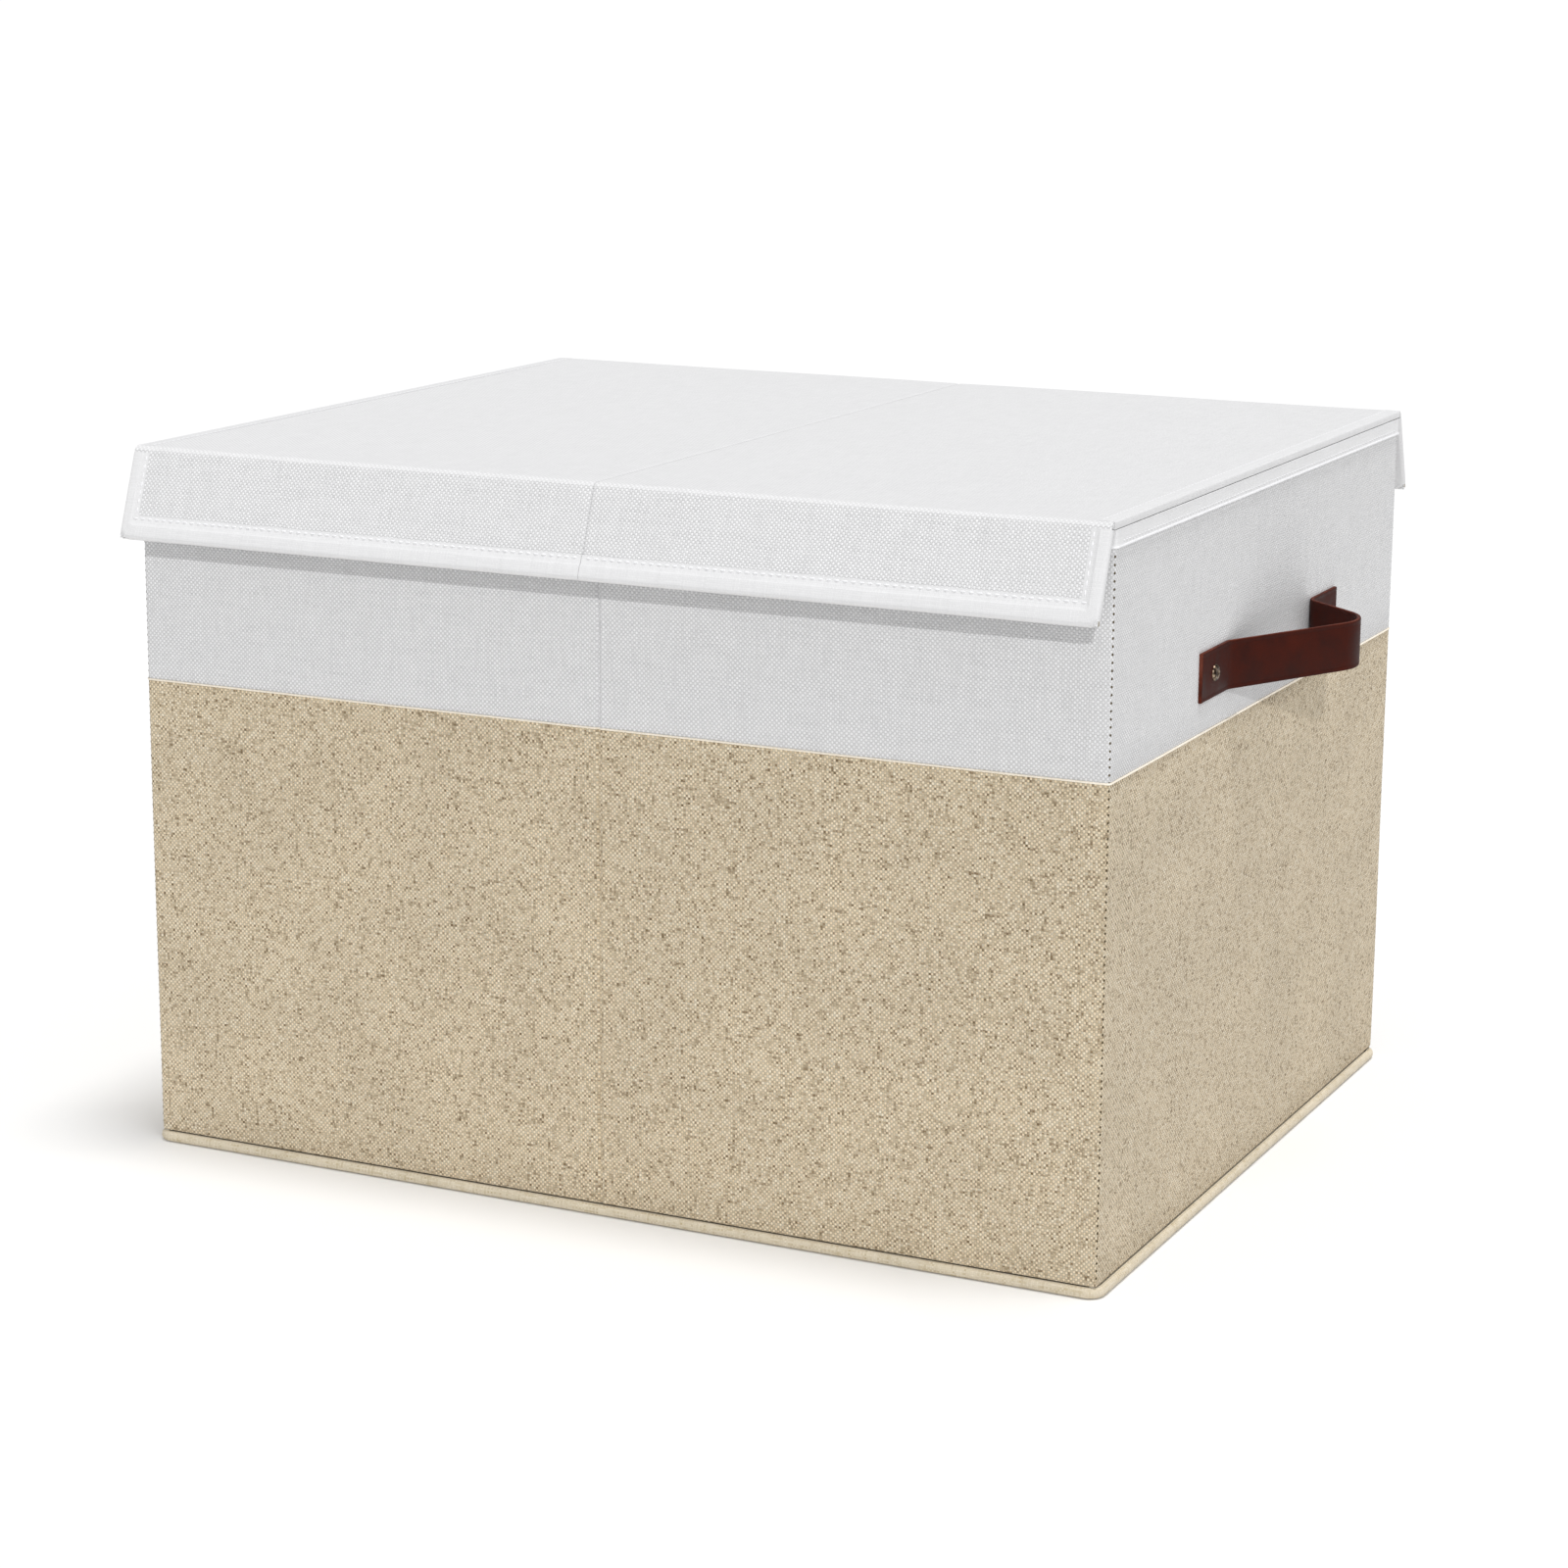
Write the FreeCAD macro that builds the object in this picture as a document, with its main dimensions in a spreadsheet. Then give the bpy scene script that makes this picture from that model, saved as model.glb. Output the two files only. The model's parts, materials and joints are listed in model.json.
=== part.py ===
import FreeCAD, Part
import math
import os
import Sketcher

# Collapsible fabric storage bin with a loose lid.
# Frame: origin on the floor under the middle of the bin, +X along its width (the creased front wall),
# +Y from the front wall to the rear wall, +Z up. All lengths are in millimetres, angles in degrees.

os.makedirs("parts", exist_ok=True)
doc = FreeCAD.newDocument("fabric_storage_bin")

# ---------------------------------------------------------------- driving dimensions
DIMENSIONS = [
    ("box_width", 430.0),        # over the outer cloth of the two end walls
    ("box_depth", 355.0),        # over the outer cloth of the front and rear walls
    ("rim_level", 298.6),        # floor to the top of the rim tape
    ("seam_level", 203.0),       # floor to the seam between the lower and upper cloth
    ("outer_cloth", 0.8),
    ("wall_board", 2.0),
    ("wall_lining", 0.5),
    ("tape", 0.35),              # binding tape, one layer
    ("rim_drop", 7.0),           # how far the rim tape comes down the wall
    ("soft_gap", 0.3),           # kept between soft pieces that move against each other
    ("crease_gap", 0.3),         # from the crease plane to the wall pieces beside it
    ("piping_tall", 4.5),        # bound seam round the foot of the walls
    ("piping_proud", 2.5),       # how far that seam stands out of the wall
    ("piping_round", 1.3),       # how far its outer edges are rounded off
    ("piping_crease_gap", 3.4),  # room beside the crease for the seam to fold
    ("base_cloth_thick", 0.9),
    ("base_felt_thick", 2.6),
    ("lid_card", 1.4),
    ("lid_cloth", 0.5),
    ("lid_tape_wide", 7.0),      # how far the end tape reaches over the lid
    ("lid_end_overhang", 0.5),
    ("lid_side_overhang", 1.9),  # from the wall's outer face to the flap's hinge line
    ("flap_long", 37.0),         # hinge line to the flap's lower edge, along the slope
    ("flap_angle", 70.0),        # slope of the hanging flap below the horizontal
    ("flap_card", 1.4),
    ("flap_tape_wide", 8.0),
    ("cut_margin", 1.0),         # how far a cutting block runs past what it cuts
    ("strap_wide", 20.0),
    ("strap_thick", 2.0),
    ("strap_level", 226.0),      # floor to the middle of the strap
    ("strap_span", 172.0),       # over the strap's two ends
    ("strap_tab", 30.0),         # flat length sewn and riveted to the wall at each end
    ("strap_bow", 32.0),         # how far the strap's middle stands out
    ("strap_front_rise", 27.0),  # slope of the long leg
    ("strap_rear_rise", 50.0),   # slope of the short leg
    ("strap_bend", 10.0),        # bend radius where a leg leaves the wall
    ("strap_shift", 4.0),        # the handle's middle from the wall's middle
    ("rivet_inset", 15.0),       # from the strap's end to the rivet
    ("rivet_shank_radius", 1.7),
    ("rivet_hole_radius", 1.9),
    ("rivet_head_radius", 3.4),
    ("rivet_head_tall", 1.3),
    ("rivet_edge_tall", 0.6),    # height of the head's straight edge
    ("rivet_crown_radius", 1.8), # flat top of the head
    ("rivet_back_radius", 4.2),
    ("rivet_back_tall", 0.8),
]

sheet = doc.addObject("Spreadsheet::Sheet", "Dims")
for row, (alias, size) in enumerate(DIMENSIONS, start=1):
    sheet.set(f"A{row}", alias)
    sheet.set(f"B{row}", str(size))
    sheet.setAlias(f"B{row}", alias)
doc.recompute()

# ---------------------------------------------------------------- expressions shared by the pieces
HALF_WIDE = "Dims.box_width / 2"
HALF_DEEP = "Dims.box_depth / 2"
WALL = "(Dims.outer_cloth + Dims.wall_board + Dims.wall_lining)"
WALL_FOOT = "Dims.piping_tall"
WALL_TOP = "(Dims.rim_level - Dims.tape)"
CORNER = f"({HALF_WIDE} - {WALL} - Dims.tape - Dims.soft_gap)"      # end of a front or rear wall half
HALF_LONG = f"({CORNER} - Dims.crease_gap)"
LID_UNDER = "(Dims.rim_level + Dims.soft_gap)"
SLEEVE = "(2 * Dims.lid_cloth + Dims.lid_card)"
LID_HALF = f"({HALF_WIDE} + Dims.lid_end_overhang)"
LID_SIDE = f"({HALF_DEEP} + Dims.lid_side_overhang)"
LID_LONG = f"({LID_HALF} - Dims.tape - Dims.crease_gap)"
FLAP = "(2 * Dims.lid_cloth + Dims.flap_card)"

NODES = []


def value(expression):
    """The number an expression has now."""
    return float(sheet.evalExpression(expression))


def keep(node):
    """Note a finished sub-part."""
    NODES.append(node)
    return node


def place(node, at=("0", "0", "0"), turn=None):
    """Set a node's placement: a turn as (axis, degrees as an expression), then its corner."""
    if turn:
        axis, angle = turn
        rotation = FreeCAD.Rotation(FreeCAD.Vector(*axis), value(angle))
        node.Placement = FreeCAD.Placement(FreeCAD.Vector(), rotation)
        node.setExpression("Placement.Rotation.Angle", angle)
    for letter, expression in zip("xyz", at):
        node.setExpression(f"Placement.Base.{letter}", expression)


def add_loop(sketch, corners):
    """Closed outline through corners given as pairs of expressions, measured from the sketch's origin."""
    first = sketch.GeometryCount
    points = [FreeCAD.Vector(value(u), value(v), 0) for u, v in corners]
    count = len(corners)
    for i in range(count):
        sketch.addGeometry(Part.LineSegment(points[i], points[(i + 1) % count]), False)
    for i in range(count):
        sketch.addConstraint(Sketcher.Constraint("Coincident", first + i, 2, first + (i + 1) % count, 1))
    for i, pair in enumerate(corners):
        for kind, on_axis, expression, number in zip(("DistanceX", "DistanceY"), (-2, -1), pair, points[i]):
            if expression == "0":
                sketch.addConstraint(Sketcher.Constraint("PointOnObject", first + i, 1, on_axis))
                continue
            index = sketch.addConstraint(Sketcher.Constraint(kind, -1, 1, first + i, 1, number))
            sketch.setExpression(f"Constraints[{index}]", expression)


def add_hole(sketch, u, v, radius):
    """Round hole centred on (u, v)."""
    centre = FreeCAD.Vector(value(u), value(v), 0)
    circle = Part.Circle(centre, FreeCAD.Vector(0, 0, 1), value(radius))
    geometry = sketch.addGeometry(circle, False)
    for kind, expression in (("DistanceX", u), ("DistanceY", v)):
        index = sketch.addConstraint(Sketcher.Constraint(kind, -1, 1, geometry, 3, value(expression)))
        sketch.setExpression(f"Constraints[{index}]", expression)
    index = sketch.addConstraint(Sketcher.Constraint("Radius", geometry, value(radius)))
    sketch.setExpression(f"Constraints[{index}]", radius)


def extruded(label, plane, loops, long, at, holes=(), turn=None):
    """Body padded from a sketch on one of its own origin planes, then placed.

    A pad on YZ_Plane grows along +X, on XY_Plane along +Z, and on XZ_Plane (reversed) along +Y.
    """
    body = doc.addObject("PartDesign::Body", label)
    body.Label = label
    sketch = body.newObject("Sketcher::SketchObject", label + "_outline")
    origin_plane = [feature for feature in body.Origin.OriginFeatures if feature.Role == plane][0]
    sketch.AttachmentSupport = [(origin_plane, "")]
    sketch.MapMode = "FlatFace"
    for corners in loops:
        add_loop(sketch, corners)
    for u, v, radius in holes:
        add_hole(sketch, u, v, radius)
    pad = body.newObject("PartDesign::Pad", label + "_pad")
    pad.Profile = sketch
    pad.Reversed = plane == "XZ_Plane"
    pad.setExpression("Length", long)
    place(body, at, turn)
    return keep(body)


def rectangle(wide, tall, left="0", low="0"):
    """Corners of an upright rectangle."""
    right = f"{left} + {wide}"
    top = f"{low} + {tall}"
    return [(left, low), (right, low), (right, top), (left, top)]


# ---------------------------------------------------------------- walls
# From outside to inside a wall is outer cloth, board and lining. It stands on the bound seam (piping)
# and carries a folded tape over its rim. Depths are counted inwards from the wall's outer face.
LAYERS = [
    ("board", "Dims.outer_cloth", "Dims.wall_board", WALL_FOOT, WALL_TOP),
    ("lower_cloth", "0", "Dims.outer_cloth", WALL_FOOT, "Dims.seam_level"),
    ("upper_cloth", "0", "Dims.outer_cloth", "Dims.seam_level", WALL_TOP),
    ("lining", "(Dims.outer_cloth + Dims.wall_board)", "Dims.wall_lining", WALL_FOOT, WALL_TOP),
]
RIM_WIDE = f"({WALL} + 2 * Dims.tape)"
RIM_LEG = "(Dims.rim_drop - Dims.tape)"
RIM_SECTION = [
    ("0", "0"),
    ("Dims.tape", "0"),
    ("Dims.tape", RIM_LEG),
    (f"Dims.tape + {WALL}", RIM_LEG),
    (f"Dims.tape + {WALL}", "0"),
    (RIM_WIDE, "0"),
    (RIM_WIDE, "Dims.rim_drop"),
    ("0", "Dims.rim_drop"),
]
PIPING_WIDE = f"(Dims.piping_proud + {WALL})"
PIPING_SECTION = [
    ("0", "Dims.piping_round"),
    ("Dims.piping_round", "0"),
    (PIPING_WIDE, "0"),
    (PIPING_WIDE, "Dims.piping_tall"),
    ("Dims.piping_round", "Dims.piping_tall"),
    ("0", "Dims.piping_tall - Dims.piping_round"),
]


def mirrored_section(section, wide):
    """The same section seen from the other side."""
    return [(f"{wide} - {u}" if u != "0" else wide, v) if u != wide else ("0", v) for u, v in section]


def end_wall(side, outward):
    """One end wall, across the whole depth. outward is -1 on the left end and +1 on the right."""
    label = f"{side}_end"
    left = outward < 0
    middle = f"{HALF_DEEP} + {outward} * Dims.strap_shift"
    for layer, depth, thick, low, top in LAYERS:
        holes = []
        if layer != "lower_cloth":
            for along in (-1, 1):
                u = f"{middle} + {along} * (Dims.strap_span / 2 - Dims.rivet_inset)"
                holes.append((u, f"Dims.strap_level - {low}", "Dims.rivet_hole_radius"))
        x = f"-{HALF_WIDE} + {depth}" if left else f"{HALF_WIDE} - {depth} - {thick}"
        at = (x, f"-{HALF_DEEP}", low)
        outline = rectangle("Dims.box_depth", f"({top} - {low})")
        extruded(f"{label}_{layer}", "YZ_Plane", [outline], thick, at, holes)
    x = f"-{HALF_WIDE} - Dims.tape" if left else f"{HALF_WIDE} - {WALL} - Dims.tape"
    at = (x, f"-{HALF_DEEP}", "Dims.rim_level - Dims.rim_drop")
    extruded(f"{label}_rim_tape", "XZ_Plane", [RIM_SECTION], "Dims.box_depth", at)
    section = PIPING_SECTION if left else mirrored_section(PIPING_SECTION, PIPING_WIDE)
    x = f"-{HALF_WIDE} - Dims.piping_proud" if left else f"{HALF_WIDE} - {WALL}"
    at = (x, f"-{HALF_DEEP} - Dims.piping_proud", "0")
    extruded(f"{label}_piping", "XZ_Plane", [section], "Dims.box_depth + 2 * Dims.piping_proud", at)


def half_wall(face, side):
    """Half of the front or rear wall, from the corner to the middle crease."""
    label = f"{face}_{side}"
    front = face == "front"
    x = f"-{CORNER}" if side == "left" else "Dims.crease_gap"
    for layer, depth, thick, low, top in LAYERS:
        y = f"-{HALF_DEEP} + {depth}" if front else f"{HALF_DEEP} - {depth} - {thick}"
        outline = rectangle(HALF_LONG, f"({top} - {low})")
        extruded(f"{label}_{layer}", "XZ_Plane", [outline], thick, (x, y, low))
    y = f"-{HALF_DEEP} - Dims.tape" if front else f"{HALF_DEEP} - {WALL} - Dims.tape"
    # the tape stops short of the crease so that its outer leg can fold
    tape_long = f"({HALF_LONG} - Dims.soft_gap)"
    tape_x = f"-{CORNER}" if side == "left" else "Dims.crease_gap + Dims.soft_gap"
    at = (tape_x, y, "Dims.rim_level - Dims.rim_drop")
    extruded(f"{label}_rim_tape", "YZ_Plane", [RIM_SECTION], tape_long, at)
    section = PIPING_SECTION if front else mirrored_section(PIPING_SECTION, PIPING_WIDE)
    y = f"-{HALF_DEEP} - Dims.piping_proud" if front else f"{HALF_DEEP} - {WALL}"
    piping_long = f"({CORNER} - Dims.piping_crease_gap)"
    piping_x = f"-{CORNER}" if side == "left" else "Dims.piping_crease_gap"
    extruded(f"{label}_piping", "YZ_Plane", [section], piping_long, (piping_x, y, "0"))


for side, outward in (("left", -1), ("right", 1)):
    end_wall(side, outward)
    for face in ("front", "rear"):
        half_wall(face, side)

# ---------------------------------------------------------------- base
# The soft base lies inside the piping: an outer cloth on the floor and a stiff felt on it.
BASE_INSIDE = f"({WALL} + Dims.soft_gap)"
BASE_LAYERS = [
    ("base_cloth", "Dims.base_cloth_thick", "0"),
    ("base_felt", "Dims.base_felt_thick", "Dims.base_cloth_thick"),
]
for label, thick, low in BASE_LAYERS:
    outline = rectangle(f"(Dims.box_width - 2 * {BASE_INSIDE})", f"(Dims.box_depth - 2 * {BASE_INSIDE})")
    at = (f"-{HALF_WIDE} + {BASE_INSIDE}", f"-{HALF_DEEP} + {BASE_INSIDE}", low)
    extruded(label, "XY_Plane", [outline], thick, at)

# ---------------------------------------------------------------- lid
# Each half of the lid is a card in a cloth sleeve that is open at the crease, with a tape folded over
# its outer end. The sleeve's section is a ring in the YZ plane.
LID_DEEP = f"(2 * {LID_SIDE})"
LID_CARD_LOW = f"({LID_UNDER} + Dims.tape + Dims.lid_cloth)"
for side in ("left", "right"):
    left = side == "left"
    x = f"-{LID_HALF} + Dims.tape" if left else "Dims.crease_gap"
    ring = [
        rectangle(LID_DEEP, SLEEVE),
        rectangle(f"({LID_DEEP} - 2 * Dims.lid_cloth)", "Dims.lid_card", "Dims.lid_cloth", "Dims.lid_cloth"),
    ]
    at = (x, f"-{LID_SIDE}", f"{LID_UNDER} + Dims.tape")
    extruded(f"lid_{side}_sleeve", "YZ_Plane", ring, LID_LONG, at)
    card = rectangle(f"({LID_DEEP} - 2 * Dims.lid_cloth)", "Dims.lid_card")
    at = (x, f"-{LID_SIDE} + Dims.lid_cloth", LID_CARD_LOW)
    extruded(f"lid_{side}_card", "YZ_Plane", [card], LID_LONG, at)
    thick = f"({SLEEVE} + 2 * Dims.tape)"
    tape_low = f"(Dims.tape + {SLEEVE})"
    far = "Dims.lid_tape_wide"
    end_section = [
        ("0", "0"), (far, "0"), (far, "Dims.tape"), ("Dims.tape", "Dims.tape"),
        ("Dims.tape", tape_low), (far, tape_low), (far, thick), ("0", thick),
    ]
    if not left:
        end_section = mirrored_section(end_section, far)
    x = f"-{LID_HALF}" if left else f"{LID_HALF} - {far}"
    extruded(f"lid_{side}_end_tape", "XZ_Plane", [end_section], LID_DEEP, (x, f"-{LID_SIDE}", LID_UNDER))

# ---------------------------------------------------------------- flaps
# A flap is drawn flat, running outwards from its hinge line, and then turned down to flap_angle.
# It is a card in a cloth sleeve, and a tape is folded over its lower edge and its outer end.
FLAP_THICK = f"({FLAP} + 2 * Dims.tape)"
FLAP_LONG = f"({LID_HALF} - Dims.tape - Dims.crease_gap)"


def flap_box(label, x, long, start, deep, low, thick):
    """Plain block in the flap's flat frame: along X, outwards from the hinge line, and up."""
    box = doc.addObject("Part::Box", label + "_block")
    box.setExpression("Length", long)
    box.setExpression("Width", deep)
    box.setExpression("Height", thick)
    for letter, expression in zip("xyz", (x, start, low)):
        box.setExpression(f"Placement.Base.{letter}", expression)
    return box


def subtract(label, base, tool):
    """base without tool."""
    cut = doc.addObject("Part::Cut", label)
    cut.Base = base
    cut.Tool = tool
    return cut


def flap(face, side):
    """One half flap with its card, sleeve and tape, built flat towards +Y or -Y and turned down."""
    label = f"{face}_flap_{side}"
    front = face == "front"
    left = side == "left"
    x = f"-{LID_HALF} + Dims.tape" if left else "Dims.crease_gap"
    sleeve_deep = "(Dims.flap_long - Dims.tape - Dims.soft_gap)"
    card_deep = f"({sleeve_deep} - 2 * Dims.lid_cloth)"
    # rear flaps run towards +Y and turn down about +X by a negative angle, front flaps the other way
    turn = ((1, 0, 0), "Dims.flap_angle") if front else ((-1, 0, 0), "Dims.flap_angle")
    at = ("0", f"-{LID_SIDE}" if front else LID_SIDE, LID_UNDER)

    def slab(name, start, deep, low, thick, from_x=x, long=FLAP_LONG):
        origin = f"-({start}) - {deep}" if front else start
        return flap_box(f"{label}_{name}", from_x, long, origin, deep, low, thick)

    inner_low = "(Dims.tape + Dims.lid_cloth)"
    sleeve_outer = slab("sleeve_outer", "Dims.soft_gap", sleeve_deep, "Dims.tape", FLAP)
    hollow_start = "(Dims.soft_gap + Dims.lid_cloth)"
    sleeve_hollow = slab("sleeve_hollow", hollow_start, card_deep, inner_low, "Dims.flap_card",
                         f"{x} - Dims.cut_margin", f"{FLAP_LONG} + 2 * Dims.cut_margin")
    sleeve = subtract(f"{label}_sleeve_cut", sleeve_outer, sleeve_hollow)
    card = slab("card", hollow_start, card_deep, inner_low, "Dims.flap_card")
    tape_start = "(Dims.flap_long - Dims.flap_tape_wide)"
    tape_long = f"({FLAP_LONG} + Dims.tape)"
    tape_x = f"-{LID_HALF}" if left else x
    whole_deep = "(Dims.flap_long - Dims.soft_gap)"
    whole = slab("tape_whole", "Dims.soft_gap", whole_deep, "0", FLAP_THICK, tape_x, tape_long)
    room_x = x if left else f"{x} - Dims.cut_margin"
    room_long = f"({FLAP_LONG} + Dims.cut_margin)"
    room = slab("tape_room", "0", "(Dims.flap_long - Dims.tape)", "Dims.tape", FLAP, room_x, room_long)
    window_x = f"-{LID_HALF} + Dims.flap_tape_wide" if left else f"{x} - Dims.cut_margin"
    window_long = f"({tape_long} - Dims.flap_tape_wide + Dims.cut_margin)"
    window_deep = f"({tape_start} + Dims.cut_margin)"
    window_thick = f"({FLAP_THICK} + 2 * Dims.cut_margin)"
    window = slab("tape_window", "-Dims.cut_margin", window_deep, "-Dims.cut_margin", window_thick,
                  window_x, window_long)
    tape = subtract(f"{label}_tape_cut", subtract(f"{label}_tape_fold", whole, room), window)
    for name, flat in (("sleeve", sleeve), ("card", card), ("tape", tape)):
        flat.Label = f"{label}_{name}_flat"
        hung = doc.addObject("Part::Compound", f"{label}_{name}_hung")
        hung.Label = f"{label}_{name}"
        hung.Links = [flat]
        place(hung, at, turn)
        keep(hung)


for face in ("front", "rear"):
    for side in ("left", "right"):
        flap(face, side)

# ---------------------------------------------------------------- handles
# The strap lies flat on the wall at both ends and bows out between them: a bend, a straight leg,
# a round top, a second leg and a second bend, all in the plane of the floor.


def strap_path():
    """Steps of the strap's middle line along the wall: (straight length, None) or (radius, turn)."""
    rise = math.radians(value("Dims.strap_front_rise"))
    fall = math.radians(value("Dims.strap_rear_rise"))
    bend = value("Dims.strap_bend")
    bow = value("Dims.strap_bow")
    tab = value("Dims.strap_tab")
    open_span = value("Dims.strap_span - 2 * Dims.strap_tab")
    slopes = bow * (1 / math.tan(rise) + 1 / math.tan(fall))
    both = (open_span - slopes) / (math.tan(rise / 2) + math.tan(fall / 2))
    crown = both - bend
    front_leg = (bow - both * (1 - math.cos(rise))) / math.sin(rise)
    rear_leg = (bow - both * (1 - math.cos(fall))) / math.sin(fall)
    return [
        (tab, None), (bend, rise), (front_leg, None), (crown, -(rise + fall)),
        (rear_leg, None), (bend, fall), (tab, None),
    ]


def strap_face(thick):
    """The strap's outline in plan: along +Y, bowing towards +X, starting at the origin."""
    heading = 0.0
    spot = FreeCAD.Vector(0, 0, 0)
    sides = {-1: [], 1: []}

    def offset(point, angle, side):
        normal = FreeCAD.Vector(math.cos(angle), -math.sin(angle), 0)
        return point + normal * (side * thick / 2)

    for size, turn in strap_path():
        start_heading = heading
        if turn is None:
            end = spot + FreeCAD.Vector(math.sin(heading), math.cos(heading), 0) * size
            middle = (spot + end) * 0.5
        else:
            bulge = 1 if turn > 0 else -1
            centre = spot + FreeCAD.Vector(math.cos(heading), -math.sin(heading), 0) * (size * bulge)
            heading = start_heading + turn
            half = start_heading + turn / 2
            end = centre - FreeCAD.Vector(math.cos(heading), -math.sin(heading), 0) * (size * bulge)
            middle = centre - FreeCAD.Vector(math.cos(half), -math.sin(half), 0) * (size * bulge)
        for side in (-1, 1):
            first = offset(spot, start_heading, side)
            last = offset(end, heading, side)
            if turn is None:
                sides[side].append(Part.LineSegment(first, last).toShape())
            else:
                sides[side].append(Part.Arc(first, offset(middle, half, side), last).toShape())
        spot = end
    caps = []
    for index, angle in ((0, 0.0), (-1, heading)):
        ends = [sides[side][index].Vertexes[index].Point for side in (-1, 1)]
        caps.append(Part.LineSegment(ends[0], ends[1]).toShape())
    wire = Part.Wire(Part.__sortEdges__(sides[-1] + sides[1] + caps))
    return Part.Face(wire)


def handle(side, outward):
    """Strap and its two rivets on one end wall."""
    thick = value("Dims.strap_thick")
    wide = value("Dims.strap_wide")
    strap = strap_face(thick).extrude(FreeCAD.Vector(0, 0, wide))
    inset = value("Dims.rivet_inset")
    span = value("Dims.strap_span")
    hole_radius = value("Dims.rivet_hole_radius")
    for along in (inset, span - inset):
        foot = FreeCAD.Vector(-thick, along, wide / 2)
        hole = Part.makeCylinder(hole_radius, 2 * thick, foot, FreeCAD.Vector(1, 0, 0))
        strap = strap.cut(hole)
    # the outline's middle line starts on the wall plane plus half the strap's thickness
    start_x = value(f"{HALF_WIDE} + Dims.strap_thick / 2")
    start_y = value("-Dims.strap_span / 2 + Dims.strap_shift")
    start = FreeCAD.Vector(start_x, start_y, value("Dims.strap_level - Dims.strap_wide / 2"))
    turn = FreeCAD.Rotation(FreeCAD.Vector(0, 0, 1), 0 if outward > 0 else 180)
    feature = doc.addObject("Part::Feature", f"{side}_handle_strap")
    feature.Label = feature.Name
    feature.Shape = strap
    feature.Placement = FreeCAD.Placement(turn.multVec(start), turn)
    keep(feature)

    rivets = doc.addObject("PartDesign::Body", f"{side}_handle_rivets")
    rivets.Label = rivets.Name
    rivets.AllowCompound = True
    sketch = rivets.newObject("Sketcher::SketchObject", f"{side}_rivet_section")
    plane = [part for part in rivets.Origin.OriginFeatures if part.Role == "XZ_Plane"][0]
    sketch.AttachmentSupport = [(plane, "")]
    sketch.MapMode = "FlatFace"
    back = "Dims.rivet_back_tall"
    grip = f"({back} + {WALL} + Dims.strap_thick)"
    crown = f"({grip} + Dims.rivet_head_tall)"
    add_loop(sketch, [
        ("0", "0"), ("0", "Dims.rivet_back_radius"),
        (back, "Dims.rivet_back_radius"), (back, "Dims.rivet_shank_radius"),
        (grip, "Dims.rivet_shank_radius"), (grip, "Dims.rivet_head_radius"),
        (f"{grip} + Dims.rivet_edge_tall", "Dims.rivet_head_radius"),
        (crown, "Dims.rivet_crown_radius"), (crown, "0"),
    ])
    turned = rivets.newObject("PartDesign::Revolution", f"{side}_rivet_turned")
    turned.Profile = sketch
    turned.ReferenceAxis = (sketch, ["H_Axis"])
    turned.Angle = 360
    doc.recompute()
    pair = rivets.newObject("PartDesign::LinearPattern", f"{side}_rivet_pair")
    pair.Originals = [turned]
    pair.Direction = (rivets.Origin.OriginFeatures[1], [""])
    pair.setExpression("Length", "Dims.strap_span - 2 * Dims.rivet_inset")
    pair.Occurrences = 2
    rivets.Tip = pair
    x = f"{outward} * ({HALF_WIDE} - {WALL} - Dims.rivet_back_tall)"
    y = f"{outward} * (Dims.strap_shift - Dims.strap_span / 2 + Dims.rivet_inset)"
    rivets.Placement = FreeCAD.Placement(FreeCAD.Vector(), turn)
    for letter, expression in zip("xyz", (x, y, "Dims.strap_level")):
        rivets.setExpression(f"Placement.Base.{letter}", expression)
    keep(rivets)


for side, outward in (("left", -1), ("right", 1)):
    handle(side, outward)

# ---------------------------------------------------------------- check and write
doc.recompute()
for item in doc.Objects:
    if "Invalid" in item.State or "Error" in item.State:
        raise RuntimeError(f"{item.Label} did not recompute: {item.State}")
for node in NODES:
    if node.Shape.isNull() or not node.Shape.isValid():
        raise RuntimeError(f"{node.Label} has no valid shape")
for node in NODES:
    node.Shape.exportStep(f"parts/{node.Label}.step")
print(f"{len(NODES)} sub-parts written")
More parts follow.
